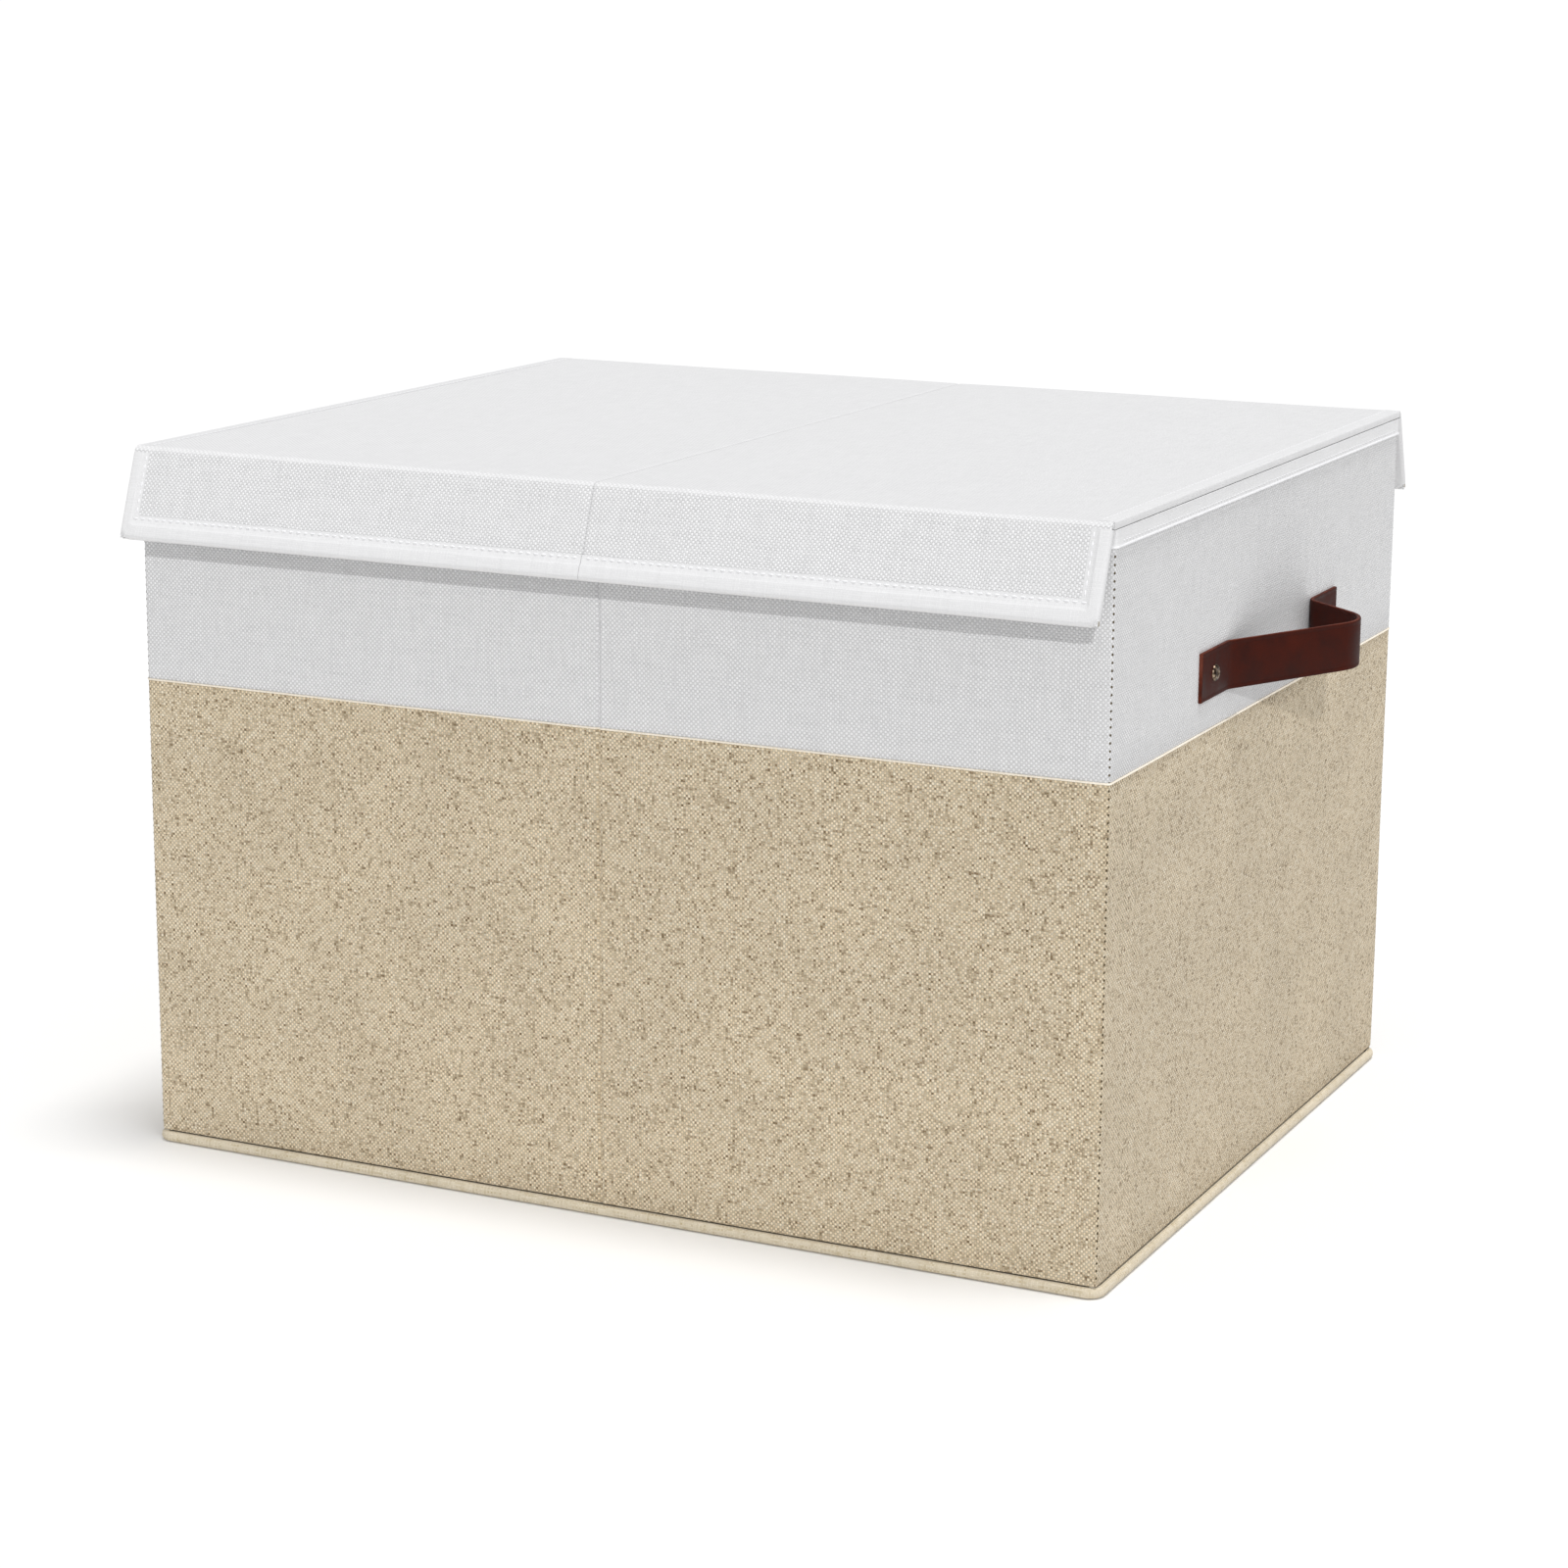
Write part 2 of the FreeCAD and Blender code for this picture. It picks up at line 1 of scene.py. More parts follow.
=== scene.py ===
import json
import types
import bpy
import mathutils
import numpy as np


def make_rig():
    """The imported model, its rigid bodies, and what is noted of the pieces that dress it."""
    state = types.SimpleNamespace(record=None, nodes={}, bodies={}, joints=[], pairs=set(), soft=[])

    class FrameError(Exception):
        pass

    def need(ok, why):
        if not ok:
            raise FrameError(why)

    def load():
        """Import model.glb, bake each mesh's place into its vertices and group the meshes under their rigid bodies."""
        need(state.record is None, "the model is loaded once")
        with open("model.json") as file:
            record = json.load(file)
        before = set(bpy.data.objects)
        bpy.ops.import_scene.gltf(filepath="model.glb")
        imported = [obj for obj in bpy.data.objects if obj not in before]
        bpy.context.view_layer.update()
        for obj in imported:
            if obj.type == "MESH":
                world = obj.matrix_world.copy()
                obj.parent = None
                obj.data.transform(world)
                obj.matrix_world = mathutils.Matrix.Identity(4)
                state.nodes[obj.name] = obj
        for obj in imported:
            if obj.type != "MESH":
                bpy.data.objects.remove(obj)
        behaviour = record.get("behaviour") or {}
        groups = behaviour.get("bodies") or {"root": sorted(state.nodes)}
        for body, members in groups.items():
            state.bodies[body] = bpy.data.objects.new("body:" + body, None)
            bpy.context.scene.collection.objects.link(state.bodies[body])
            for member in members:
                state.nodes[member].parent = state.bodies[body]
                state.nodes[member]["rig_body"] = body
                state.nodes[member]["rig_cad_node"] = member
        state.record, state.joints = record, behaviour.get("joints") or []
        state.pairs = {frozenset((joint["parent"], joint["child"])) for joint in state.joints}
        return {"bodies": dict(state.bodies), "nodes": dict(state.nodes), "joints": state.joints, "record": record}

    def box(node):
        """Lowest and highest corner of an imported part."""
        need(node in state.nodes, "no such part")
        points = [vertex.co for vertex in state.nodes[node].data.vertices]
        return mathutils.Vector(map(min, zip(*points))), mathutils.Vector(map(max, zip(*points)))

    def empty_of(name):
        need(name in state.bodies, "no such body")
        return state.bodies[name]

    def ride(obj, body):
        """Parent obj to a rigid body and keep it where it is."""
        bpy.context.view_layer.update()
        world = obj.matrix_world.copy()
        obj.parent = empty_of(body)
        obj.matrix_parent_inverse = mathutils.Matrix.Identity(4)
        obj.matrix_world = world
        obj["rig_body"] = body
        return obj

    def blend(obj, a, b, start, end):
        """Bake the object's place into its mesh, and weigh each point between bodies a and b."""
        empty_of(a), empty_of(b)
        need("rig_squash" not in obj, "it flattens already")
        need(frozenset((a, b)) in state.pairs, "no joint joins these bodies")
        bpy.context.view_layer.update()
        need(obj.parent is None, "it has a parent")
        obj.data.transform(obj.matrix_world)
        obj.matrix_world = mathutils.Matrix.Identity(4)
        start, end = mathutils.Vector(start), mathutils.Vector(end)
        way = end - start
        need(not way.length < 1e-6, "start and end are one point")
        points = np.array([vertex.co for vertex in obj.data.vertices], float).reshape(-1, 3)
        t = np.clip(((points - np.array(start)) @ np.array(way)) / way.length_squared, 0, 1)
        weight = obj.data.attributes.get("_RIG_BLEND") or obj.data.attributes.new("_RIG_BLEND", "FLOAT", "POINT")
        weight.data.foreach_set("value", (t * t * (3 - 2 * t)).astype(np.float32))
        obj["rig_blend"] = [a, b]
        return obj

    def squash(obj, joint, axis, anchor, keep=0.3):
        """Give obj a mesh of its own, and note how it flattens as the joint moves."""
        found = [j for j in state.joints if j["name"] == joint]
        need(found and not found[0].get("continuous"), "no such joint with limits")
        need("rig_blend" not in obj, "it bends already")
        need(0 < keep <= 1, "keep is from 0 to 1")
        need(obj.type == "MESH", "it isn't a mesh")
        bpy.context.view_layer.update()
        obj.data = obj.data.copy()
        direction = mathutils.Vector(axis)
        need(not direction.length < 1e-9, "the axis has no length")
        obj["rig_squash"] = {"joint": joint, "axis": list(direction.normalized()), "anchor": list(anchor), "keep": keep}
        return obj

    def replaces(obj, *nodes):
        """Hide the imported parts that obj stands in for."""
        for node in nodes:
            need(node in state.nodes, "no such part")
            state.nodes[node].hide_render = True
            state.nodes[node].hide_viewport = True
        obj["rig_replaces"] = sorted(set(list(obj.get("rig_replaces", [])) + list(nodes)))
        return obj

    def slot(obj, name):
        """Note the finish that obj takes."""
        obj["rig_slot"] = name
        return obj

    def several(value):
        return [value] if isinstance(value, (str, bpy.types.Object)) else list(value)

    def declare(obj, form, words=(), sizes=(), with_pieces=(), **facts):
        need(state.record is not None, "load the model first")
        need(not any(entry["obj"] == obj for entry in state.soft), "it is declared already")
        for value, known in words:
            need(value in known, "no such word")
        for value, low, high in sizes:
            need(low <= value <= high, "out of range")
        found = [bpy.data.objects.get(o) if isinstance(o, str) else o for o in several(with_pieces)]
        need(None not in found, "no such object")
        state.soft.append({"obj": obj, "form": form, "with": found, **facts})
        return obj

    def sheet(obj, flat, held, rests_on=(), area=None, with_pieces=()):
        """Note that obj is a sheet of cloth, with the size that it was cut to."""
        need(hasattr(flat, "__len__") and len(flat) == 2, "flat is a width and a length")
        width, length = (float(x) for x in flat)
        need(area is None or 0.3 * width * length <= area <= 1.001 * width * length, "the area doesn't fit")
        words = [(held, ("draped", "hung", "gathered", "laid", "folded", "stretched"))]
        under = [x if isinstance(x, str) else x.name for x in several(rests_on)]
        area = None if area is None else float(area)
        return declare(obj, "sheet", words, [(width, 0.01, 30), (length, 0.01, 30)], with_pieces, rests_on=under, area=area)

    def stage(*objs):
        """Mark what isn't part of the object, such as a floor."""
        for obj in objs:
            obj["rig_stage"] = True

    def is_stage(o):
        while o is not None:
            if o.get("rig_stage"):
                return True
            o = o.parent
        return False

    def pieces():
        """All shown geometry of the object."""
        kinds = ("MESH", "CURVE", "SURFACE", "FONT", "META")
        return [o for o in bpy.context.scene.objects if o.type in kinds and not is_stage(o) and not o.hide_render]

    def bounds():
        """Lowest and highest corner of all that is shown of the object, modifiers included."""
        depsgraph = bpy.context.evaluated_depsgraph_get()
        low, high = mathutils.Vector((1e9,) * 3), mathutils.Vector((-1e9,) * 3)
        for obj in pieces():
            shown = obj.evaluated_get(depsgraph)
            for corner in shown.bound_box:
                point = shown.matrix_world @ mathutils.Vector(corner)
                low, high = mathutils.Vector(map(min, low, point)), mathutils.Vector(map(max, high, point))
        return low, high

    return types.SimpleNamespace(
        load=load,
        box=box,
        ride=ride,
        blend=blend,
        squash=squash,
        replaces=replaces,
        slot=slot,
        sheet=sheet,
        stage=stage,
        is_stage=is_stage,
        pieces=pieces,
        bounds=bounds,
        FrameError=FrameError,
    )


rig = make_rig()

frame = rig.load()

import json
import logging
import math
from collections.abc import Callable, Sequence
from dataclasses import dataclass, field
from enum import Enum

import bmesh
import bpy
from mathutils import Matrix, Vector

log = logging.getLogger("storage_bin")

MM = 0.001
UV_NAME = "run"
CAD_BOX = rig.bounds()


# ---------------------------------------------------------------- small tools
def linear(hex_colour: str) -> tuple[float, float, float, float]:
    """Turn an sRGB hex colour into the linear one that the shaders take.

    Args:
        hex_colour: Six hex digits, such as "d2c2a3".

    Returns:
        Linear red, green and blue, and an alpha of 1.
    """
    parts = [int(hex_colour[i:i + 2], 16) / 255 for i in (0, 2, 4)]
    red, green, blue = (c / 12.92 if c <= 0.04045 else ((c + 0.055) / 1.055) ** 2.4 for c in parts)
    return red, green, blue, 1.0


def add_node(tree: bpy.types.NodeTree, kind: str, settings: dict | None = None,
             links: dict | None = None) -> bpy.types.Node:
    """Add one node, give it its settings, and fill or link its inputs.

    Args:
        tree: The node tree.
        kind: The node's type name.
        settings: Attributes of the node.
        links: Input name or number, with a socket to link or a plain value.

    Returns:
        The new node.
    """
    node = tree.nodes.new(kind)
    for key, setting in (settings or {}).items():
        setattr(node, key, setting)
    for key, source in (links or {}).items():
        if isinstance(source, bpy.types.NodeSocket):
            tree.links.new(source, node.inputs[key])
        else:
            node.inputs[key].default_value = source
    return node


def calculate(tree: bpy.types.NodeTree, operation: str,
              *inputs: bpy.types.NodeSocket | float) -> bpy.types.NodeSocket:
    """Work out one sum on sockets and numbers.

    Args:
        tree: The node tree.
        operation: The sum's name, such as "MULTIPLY".
        inputs: The sockets or numbers that go in, in order.

    Returns:
        The socket with the result.
    """
    settings = {"operation": operation}
    return add_node(tree, "ShaderNodeMath", settings, dict(enumerate(inputs))).outputs[0]


def add_ramp(tree: bpy.types.NodeTree, source: bpy.types.NodeSocket,
             stops: Sequence[tuple[float, str]]) -> bpy.types.NodeSocket:
    """Add a colour ramp.

    Args:
        tree: The node tree.
        source: What drives it.
        stops: Places from 0 to 1 with their sRGB hex colours, in order.

    Returns:
        The colour.
    """
    ramp = add_node(tree, "ShaderNodeValToRGB", None, {0: source})
    elements = ramp.color_ramp.elements
    for element, (place, colour) in ((elements[0], stops[0]), (elements[1], stops[-1])):
        element.position = place
        element.color = linear(colour)
    for place, colour in stops[1:-1]:
        elements.new(place).color = linear(colour)
    return ramp.outputs[0]


def roughen(tree: bpy.types.NodeTree, shader: bpy.types.Node, source: bpy.types.NodeSocket,
            low: float, high: float) -> None:
    """Let a pattern vary the roughness.

    Args:
        tree: The node tree.
        shader: The surface shader.
        source: The pattern, mostly between 0.3 and 0.7.
        low: Roughness where the pattern is low.
        high: Roughness where it is high.
    """
    rough = add_node(tree, "ShaderNodeMapRange", None, {0: source, 1: 0.3, 2: 0.7, 3: low, 4: high})
    tree.links.new(rough.outputs[0], shader.inputs["Roughness"])


def raise_relief(tree: bpy.types.NodeTree, shader: bpy.types.Node, height: bpy.types.NodeSocket,
                 strength: float, distance: float) -> None:
    """Let a pattern raise the surface.

    Args:
        tree: The node tree.
        shader: The surface shader.
        height: The pattern.
        strength: The bump's strength.
        distance: How far a height of 1 stands up, in metres.
    """
    bump = add_node(tree, "ShaderNodeBump", None,
                    {"Height": height, "Strength": strength, "Distance": distance})
    tree.links.new(bump.outputs[0], shader.inputs["Normal"])


def ease(share: float) -> float:
    """Smooth step from 0 to 1."""
    share = min(1.0, max(0.0, share))
    return share * share * (3 - 2 * share)


# ---------------------------------------------------------------- finishes
@dataclass(frozen=True)
class Finish:
    """What a piece is made of and how its surface was made. Each finish is built once."""

    name: str
    slot: str

    def material(self) -> bpy.types.Material:
        """Build the finish once, then find it again by its name.

        Returns:
            The finish as a Blender material.
        """
        found = bpy.data.materials.get(self.name)
        if found is not None:
            return found
        made = bpy.data.materials.new(self.name)
        made.use_nodes = True
        tree = made.node_tree
        tree.nodes.clear()
        shader = add_node(tree, "ShaderNodeBsdfPrincipled")
        add_node(tree, "ShaderNodeOutputMaterial", None, {"Surface": shader.outputs[0]})
        self.dress(tree, shader)
        return made

    def dress(self, tree: bpy.types.NodeTree, shader: bpy.types.Node) -> None:
        """Fill in the shader. Each kind of finish has its own.

        Args:
            tree: The material's node tree.
            shader: Its surface shader.
        """
        raise NotImplementedError


@dataclass(frozen=True)
class WovenCloth(Finish):
    """Yarns over and under each other, each with its own slubs and its own shade, with painted shade in the gaps
    between them and on the cells where the weft lies over.
    """

    yarn: str
    dark_yarn: str
    light_yarn: str
    pitch: float
    slub_long: float
    dark_share: float
    light_share: float
    gap_shade: float
    relief: float
    roughness: float
    sheen: float
    weft_tone: float = 1.0
    mottle: float = 0.0

    def dress(self, tree: bpy.types.NodeTree, shader: bpy.types.Node) -> None:
        """Lay the yarns on the piece's own metres, shade them one by one and raise them.

        Args:
            tree: The material's node tree.
            shader: Its surface shader.
        """
        run = add_node(tree, "ShaderNodeUVMap", {"uv_map": UV_NAME}).outputs[0]
        wobble = add_node(tree, "ShaderNodeTexNoise", {"noise_dimensions": "2D"},
                          {"Vector": run, "Scale": 55.0, "Detail": 2.0})
        drift = add_node(tree, "ShaderNodeVectorMath", {"operation": "MULTIPLY_ADD"},
                         {0: wobble.outputs["Color"], 1: (1.1 * self.pitch,) * 3, 2: run})
        flat = add_node(tree, "ShaderNodeSeparateXYZ", None, {0: drift.outputs[0]})
        across = calculate(tree, "DIVIDE", flat.outputs[0], self.pitch)
        up = calculate(tree, "DIVIDE", flat.outputs[1], self.pitch)
        warp_wave = calculate(tree, "SINE", calculate(tree, "MULTIPLY", across, math.pi))
        weft_wave = calculate(tree, "SINE", calculate(tree, "MULTIPLY", up, math.pi))
        crossing = calculate(tree, "MULTIPLY", warp_wave, weft_wave)
        over = add_node(tree, "ShaderNodeMapRange", {"interpolation_type": "SMOOTHSTEP"},
                        {0: crossing, 1: -0.3, 2: 0.3, 3: 0.0, 4: 1.0}).outputs[0]
        round_warp = calculate(tree, "ABSOLUTE", warp_wave)
        round_weft = calculate(tree, "ABSOLUTE", weft_wave)
        height = add_node(tree, "ShaderNodeMix", None, {0: over, 2: round_weft, 3: round_warp}).outputs[0]
        shades = []
        for own, along in ((across, up), (up, across)):
            yarn_number = calculate(tree, "MULTIPLY", calculate(tree, "FLOOR", own), 7.31)
            place = calculate(tree, "DIVIDE", along, self.slub_long)
            spot = add_node(tree, "ShaderNodeCombineXYZ", None, {0: yarn_number, 1: place})
            shades.append(add_node(tree, "ShaderNodeTexNoise", {"noise_dimensions": "2D"},
                                   {"Vector": spot.outputs[0], "Scale": 1.0, "Detail": 3.0,
                                    "Roughness": 0.6}).outputs[0])
        shade = add_node(tree, "ShaderNodeMix", None, {0: over, 2: shades[1], 3: shades[0]}).outputs[0]
        light_from = 1.0 - self.light_share
        plain = (self.dark_share + light_from) / 2 - 0.04
        dyed = add_ramp(tree, shade, ((self.dark_share, self.dark_yarn), (plain, self.yarn),
                                      (light_from, self.light_yarn)))
        # Painted shade: darker where the yarns dip, in the gaps between them.
        depth = add_node(tree, "ShaderNodeMapRange", None, {0: height, 1: 0.0, 2: 0.7,
                                                           3: 1.0 - self.gap_shade, 4: 1.0}).outputs[0]
        cloud = add_node(tree, "ShaderNodeTexNoise", {"noise_dimensions": "2D"},
                         {"Vector": run, "Scale": 22.0, "Detail": 3.0})
        patch = add_node(tree, "ShaderNodeMapRange", None,
                         {0: cloud.outputs[0], 1: 0.3, 2: 0.7, 3: 1.0 - self.mottle, 4: 1.0})
        # Painted shade: the cells where the weft lies over are drawn darker, for how light falls on the crossing yarns.
        painted_weft_shade = add_node(tree, "ShaderNodeMapRange", None, {0: over, 3: self.weft_tone, 4: 1.0}).outputs[0]
        # Painted shade of the gaps and the weft, times the cloth's random mottle.
        painted_shade_and_mottle = calculate(tree, "MULTIPLY", calculate(tree, "MULTIPLY", depth, painted_weft_shade), patch.outputs[0])
        colour = add_node(tree, "ShaderNodeVectorMath", {"operation": "SCALE"},
                          {0: dyed, "Scale": painted_shade_and_mottle})
        tree.links.new(colour.outputs[0], shader.inputs["Base Color"])
        roughen(tree, shader, shade, self.roughness, min(1.0, self.roughness + 0.08))
        raised = calculate(tree, "ADD", height, calculate(tree, "MULTIPLY", shade, 0.8))
        raise_relief(tree, shader, raised, self.relief, 0.25 * self.pitch)
        shader.inputs["Sheen Weight"].default_value = self.sheen
        shader.inputs["Sheen Roughness"].default_value = 0.6
        shader.inputs["IOR"].default_value = 1.46


@dataclass(frozen=True)
class PressedFibre(Finish):
    """Short fibres pressed together without a weave: non-woven lining, felt and greyboard."""

    light: str
    dark: str
    fibre: float
    relief: float
    roughness: float

    def dress(self, tree: bpy.types.NodeTree, shader: bpy.types.Node) -> None:
        """Tangle fibres of a real length in the object's own metres.

        Args:
            tree: The material's node tree.
            shader: Its surface shader.
        """
        place = add_node(tree, "ShaderNodeTexCoord").outputs["Object"]
        tangle = add_node(tree, "ShaderNodeTexNoise", {"noise_dimensions": "3D"},
                          {"Vector": place, "Scale": 0.5 / self.fibre, "Detail": 6.0,
                           "Roughness": 0.7, "Distortion": 2.5})
        pits = add_node(tree, "ShaderNodeTexVoronoi", {"feature": "F1"},
                        {"Vector": place, "Scale": 1.0 / self.fibre})
        mixed = calculate(tree, "ADD", tangle.outputs[0],
                          calculate(tree, "MULTIPLY", pits.outputs["Distance"], 0.35))
        web = add_ramp(tree, mixed, ((0.4, self.dark), (0.85, self.light)))
        tree.links.new(web, shader.inputs["Base Color"])
        roughen(tree, shader, tangle.outputs[0], self.roughness, 1.0)
        raise_relief(tree, shader, mixed, self.relief, 0.2 * self.fibre)
        shader.inputs["IOR"].default_value = 1.46


@dataclass(frozen=True)
class Leather(Finish):
    """Full-grain leather, dyed through and rolled smooth, or its painted edge."""

    dye: str
    deep: str
    worn: str
    grain: float
    relief: float
    roughness: float

    def dress(self, tree: bpy.types.NodeTree, shader: bpy.types.Node) -> None:
        """Pebble the grain, darken its creases with painted shade, cloud the dye and lighten the worn tops.

        Args:
            tree: The material's node tree.
            shader: Its surface shader.
        """
        place = add_node(tree, "ShaderNodeTexCoord").outputs["Object"]
        pebble = add_node(tree, "ShaderNodeTexVoronoi", {"feature": "DISTANCE_TO_EDGE"},
                          {"Vector": place, "Scale": 1.0 / self.grain})
        cloud = add_node(tree, "ShaderNodeTexNoise", {"noise_dimensions": "3D"},
                         {"Vector": place, "Scale": 90.0, "Detail": 5.0, "Roughness": 0.6})
        dyed = add_ramp(tree, cloud.outputs[0], ((0.32, self.deep), (0.52, self.dye), (0.78, self.worn)))
        # Painted shade: the grain's creases, at the pebbles' edges, are drawn darker.
        crease = add_node(tree, "ShaderNodeMapRange", None,
                          {0: pebble.outputs["Distance"], 1: 0.0, 2: 0.12, 3: 0.8, 4: 1.0})
        colour = add_node(tree, "ShaderNodeVectorMath", {"operation": "SCALE"},
                          {0: dyed, "Scale": crease.outputs[0]})
        tree.links.new(colour.outputs[0], shader.inputs["Base Color"])
        roughen(tree, shader, cloud.outputs[0], self.roughness, self.roughness + 0.18)
        tops = calculate(tree, "MINIMUM", pebble.outputs["Distance"], 0.15)
        raise_relief(tree, shader, tops, self.relief, 0.3 * self.grain)
        shader.inputs["IOR"].default_value = 1.5
        shader.inputs["Specular IOR Level"].default_value = 0.1


@dataclass(frozen=True)
class PatinatedBronze(Finish):
    """Turned and tumbled brass, blackened and rubbed back on its high places."""

    metal: str
    patina: str
    roughness: float

    def dress(self, tree: bpy.types.NodeTree, shader: bpy.types.Node) -> None:
        """Let the patina lie in clouds over the bare metal, duller where it is thick.

        Args:
            tree: The material's node tree.
            shader: Its surface shader.
        """
        place = add_node(tree, "ShaderNodeTexCoord").outputs["Object"]
        cloud = add_node(tree, "ShaderNodeTexNoise", {"noise_dimensions": "3D"},
                         {"Vector": place, "Scale": 700.0, "Detail": 5.0, "Roughness": 0.6})
        rubbed = add_ramp(tree, cloud.outputs[0], ((0.42, self.patina), (0.68, self.metal)))
        tree.links.new(rubbed, shader.inputs["Base Color"])
        roughen(tree, shader, cloud.outputs[0], self.roughness + 0.2, self.roughness)
        raise_relief(tree, shader, cloud.outputs[0], 0.15, 0.1 * MM)
        shader.inputs["Metallic"].default_value = 1.0


# Polyester-cotton canvas in a plain weave of thick soft yarns, piece-dyed off-white. It gives a fine even
# checker of raised yarns with hardly any shade of its own; its darker cells and gaps are painted shade.
# Yarns are 0.7 mm apart in the real cloth, drawn at 1 mm so that they show.
WHITE_CANVAS = WovenCloth(
    "white_canvas_woven", "white_cloth", "e8e8e9", "dededf", "f0f0f1", pitch=1.0 * MM, slub_long=14.0,
    dark_share=0.24, light_share=0.24, gap_shade=0.26, relief=0.6, roughness=0.86, sheen=0.1, weft_tone=0.76,
)
# The same canvas pressed over the lid's card, where the yarns lie flatter. It takes less painted shade than the copy on
# the flaps and walls, so the top, which faces the light, reads lighter: a lit copy of the one cloth.
LIT_LID_CANVAS = WovenCloth(
    "white_canvas_pressed", "white_cloth", "e4e4e5", "dfdfe0", "eaeaeb", pitch=1.0 * MM, slub_long=14.0,
    dark_share=0.24, light_share=0.24, gap_shade=0.12, relief=0.45, roughness=0.86, sheen=0.1, weft_tone=0.86,
)
# Linen-look polyester: yarn-dyed beige with thick dark and pale slubs in both directions, which give the
# cloth its short broken strokes. Yarns are drawn 1 mm apart.
LINEN_LOOK = WovenCloth(
    "beige_linen_look_woven", "beige_cloth", "eddab9", "8c7553", "fdf1d9", pitch=1.0 * MM, slub_long=3.5,
    dark_share=0.27, light_share=0.24, gap_shade=0.42, relief=0.9, roughness=0.88, sheen=0.1, weft_tone=0.66,
    mottle=0.07,
)
# Plain polyester sheeting under the base, in the walls' beige but woven plain.
BASE_CLOTH = WovenCloth(
    "beige_sheeting_woven", "beige_cloth", "cbbb9b", "a8946c", "ddceb0", pitch=1.0 * MM, slub_long=12.0,
    dark_share=0.24, light_share=0.24, gap_shade=0.25, relief=0.5, roughness=0.9, sheen=0.1,
)
# Woven binding tape: fine ribs, smoother and paler than the canvas.
BINDING_TAPE = WovenCloth(
    "white_binding_tape_woven", "white_tape", "dcdcdd", "d6d6d7", "e3e3e4", pitch=0.7 * MM, slub_long=20.0,
    dark_share=0.2, light_share=0.2, gap_shade=0.08, relief=0.25, roughness=0.8, sheen=0.1,
)
# Bias-cut cotton binding over the bottom seam, sewn tight and slightly soiled from the floor.
BOTTOM_BINDING = WovenCloth(
    "cream_binding_bias_cut", "cream_piping", "d8ccb4", "bfae8a", "e6dcc8", pitch=0.8 * MM, slub_long=12.0,
    dark_share=0.25, light_share=0.22, gap_shade=0.15, relief=0.35, roughness=0.86, sheen=0.1, mottle=0.08,
)
# The folded edge of the lower cloth's facing, which shows in the seam as a pale line. It is drawn paler than either
# cloth: partly its own cream, partly a painted highlight along the seam.
SEAM_FACING_HIGHLIGHT = WovenCloth(
    "cream_seam_facing_woven", "beige_cloth", "f3e9d8", "e6d8bf", "fbf5ea", pitch=0.8 * MM, slub_long=12.0,
    dark_share=0.22, light_share=0.22, gap_shade=0.1, relief=0.3, roughness=0.84, sheen=0.1,
)
# Spun polyester sewing thread, doubled. It is a little shinier than cloth. The rim's bead takes it too, brighter than
# the tape it belongs to: a painted highlight.
WHITE_THREAD_AND_BEAD_HIGHLIGHT = WovenCloth(
    "white_sewing_thread_twisted", "white_tape", "f2f2f4", "e2e2e6", "fafafc", pitch=0.4 * MM, slub_long=6.0,
    dark_share=0.2, light_share=0.2, gap_shade=0.2, relief=0.4, roughness=0.6, sheen=0.05,
)
# The shaded inside of a needle hole, where yarns are pushed apart.
NEEDLE_HOLE = PressedFibre("needle_hole_shaded", "beige_cloth", "5e5138", "3a3122", 0.5 * MM, 0.4, 0.95)
# Non-woven polypropylene, hot-pressed: an even pale web of fibres with small pits.
LINING_WEB = PressedFibre("lining_web_pressed", "lining", "e4e2dc", "cfccc4", 1.4 * MM, 0.5, 0.85)
# Needled polyester felt: a dense dull mat.
NEEDLED_FELT = PressedFibre("base_felt_needled", "base_felt", "d8d4ca", "b3aea1", 1.8 * MM, 0.8, 0.95)
# Greyboard: pulp pressed flat, with darker flecks of old paper.
GREYBOARD = PressedFibre("greyboard_pressed", "greyboard", "b9b2a4", "8e877a", 1.2 * MM, 0.3, 0.9)
# Bonded leather strap, dyed red-brown and rolled smooth, with a satin top.
STRAP_LEATHER = Leather("strap_leather_rolled", "leather", "3c1207", "310e06", "461609", 0.9 * MM, 0.2, 0.5)
# The strap's cut edge, painted and burnished, a little lighter where it is rubbed. Its colour is drawn lighter than the
# strap's face: a painted highlight along the edges.
STRAP_EDGE_HIGHLIGHT = Leather("strap_edge_painted", "leather", "5e2a1c", "3e160c", "784436", 0.6 * MM, 0.3, 0.5)
# Rivets in antiqued brass.
RIVET_BRONZE = PatinatedBronze("rivet_brass_antiqued", "rivet", "c0aa92", "20150f", 0.24)


# ---------------------------------------------------------------- mesh making
@dataclass(frozen=True)
class Spot:
    """One station of a line that a section follows: its place in plan, the outward direction and the run."""

    x: float
    y: float
    out_x: float
    out_y: float
    run: float


@dataclass(frozen=True)
class Edge:
    """One corner of a section: how far outwards, how high, and its distance along the cloth."""

    out: float
    high: float
    along: float


Place = Callable[[float, float, float], Vector]
Ripple = Callable[[float, float], float]


def as_is(x: float, y: float, z: float) -> Vector:
    """The frame's own place."""
    return Vector((x, y, z))


def no_ripple(run: float, high: float) -> float:
    """Cloth without waves."""
    return 0.0


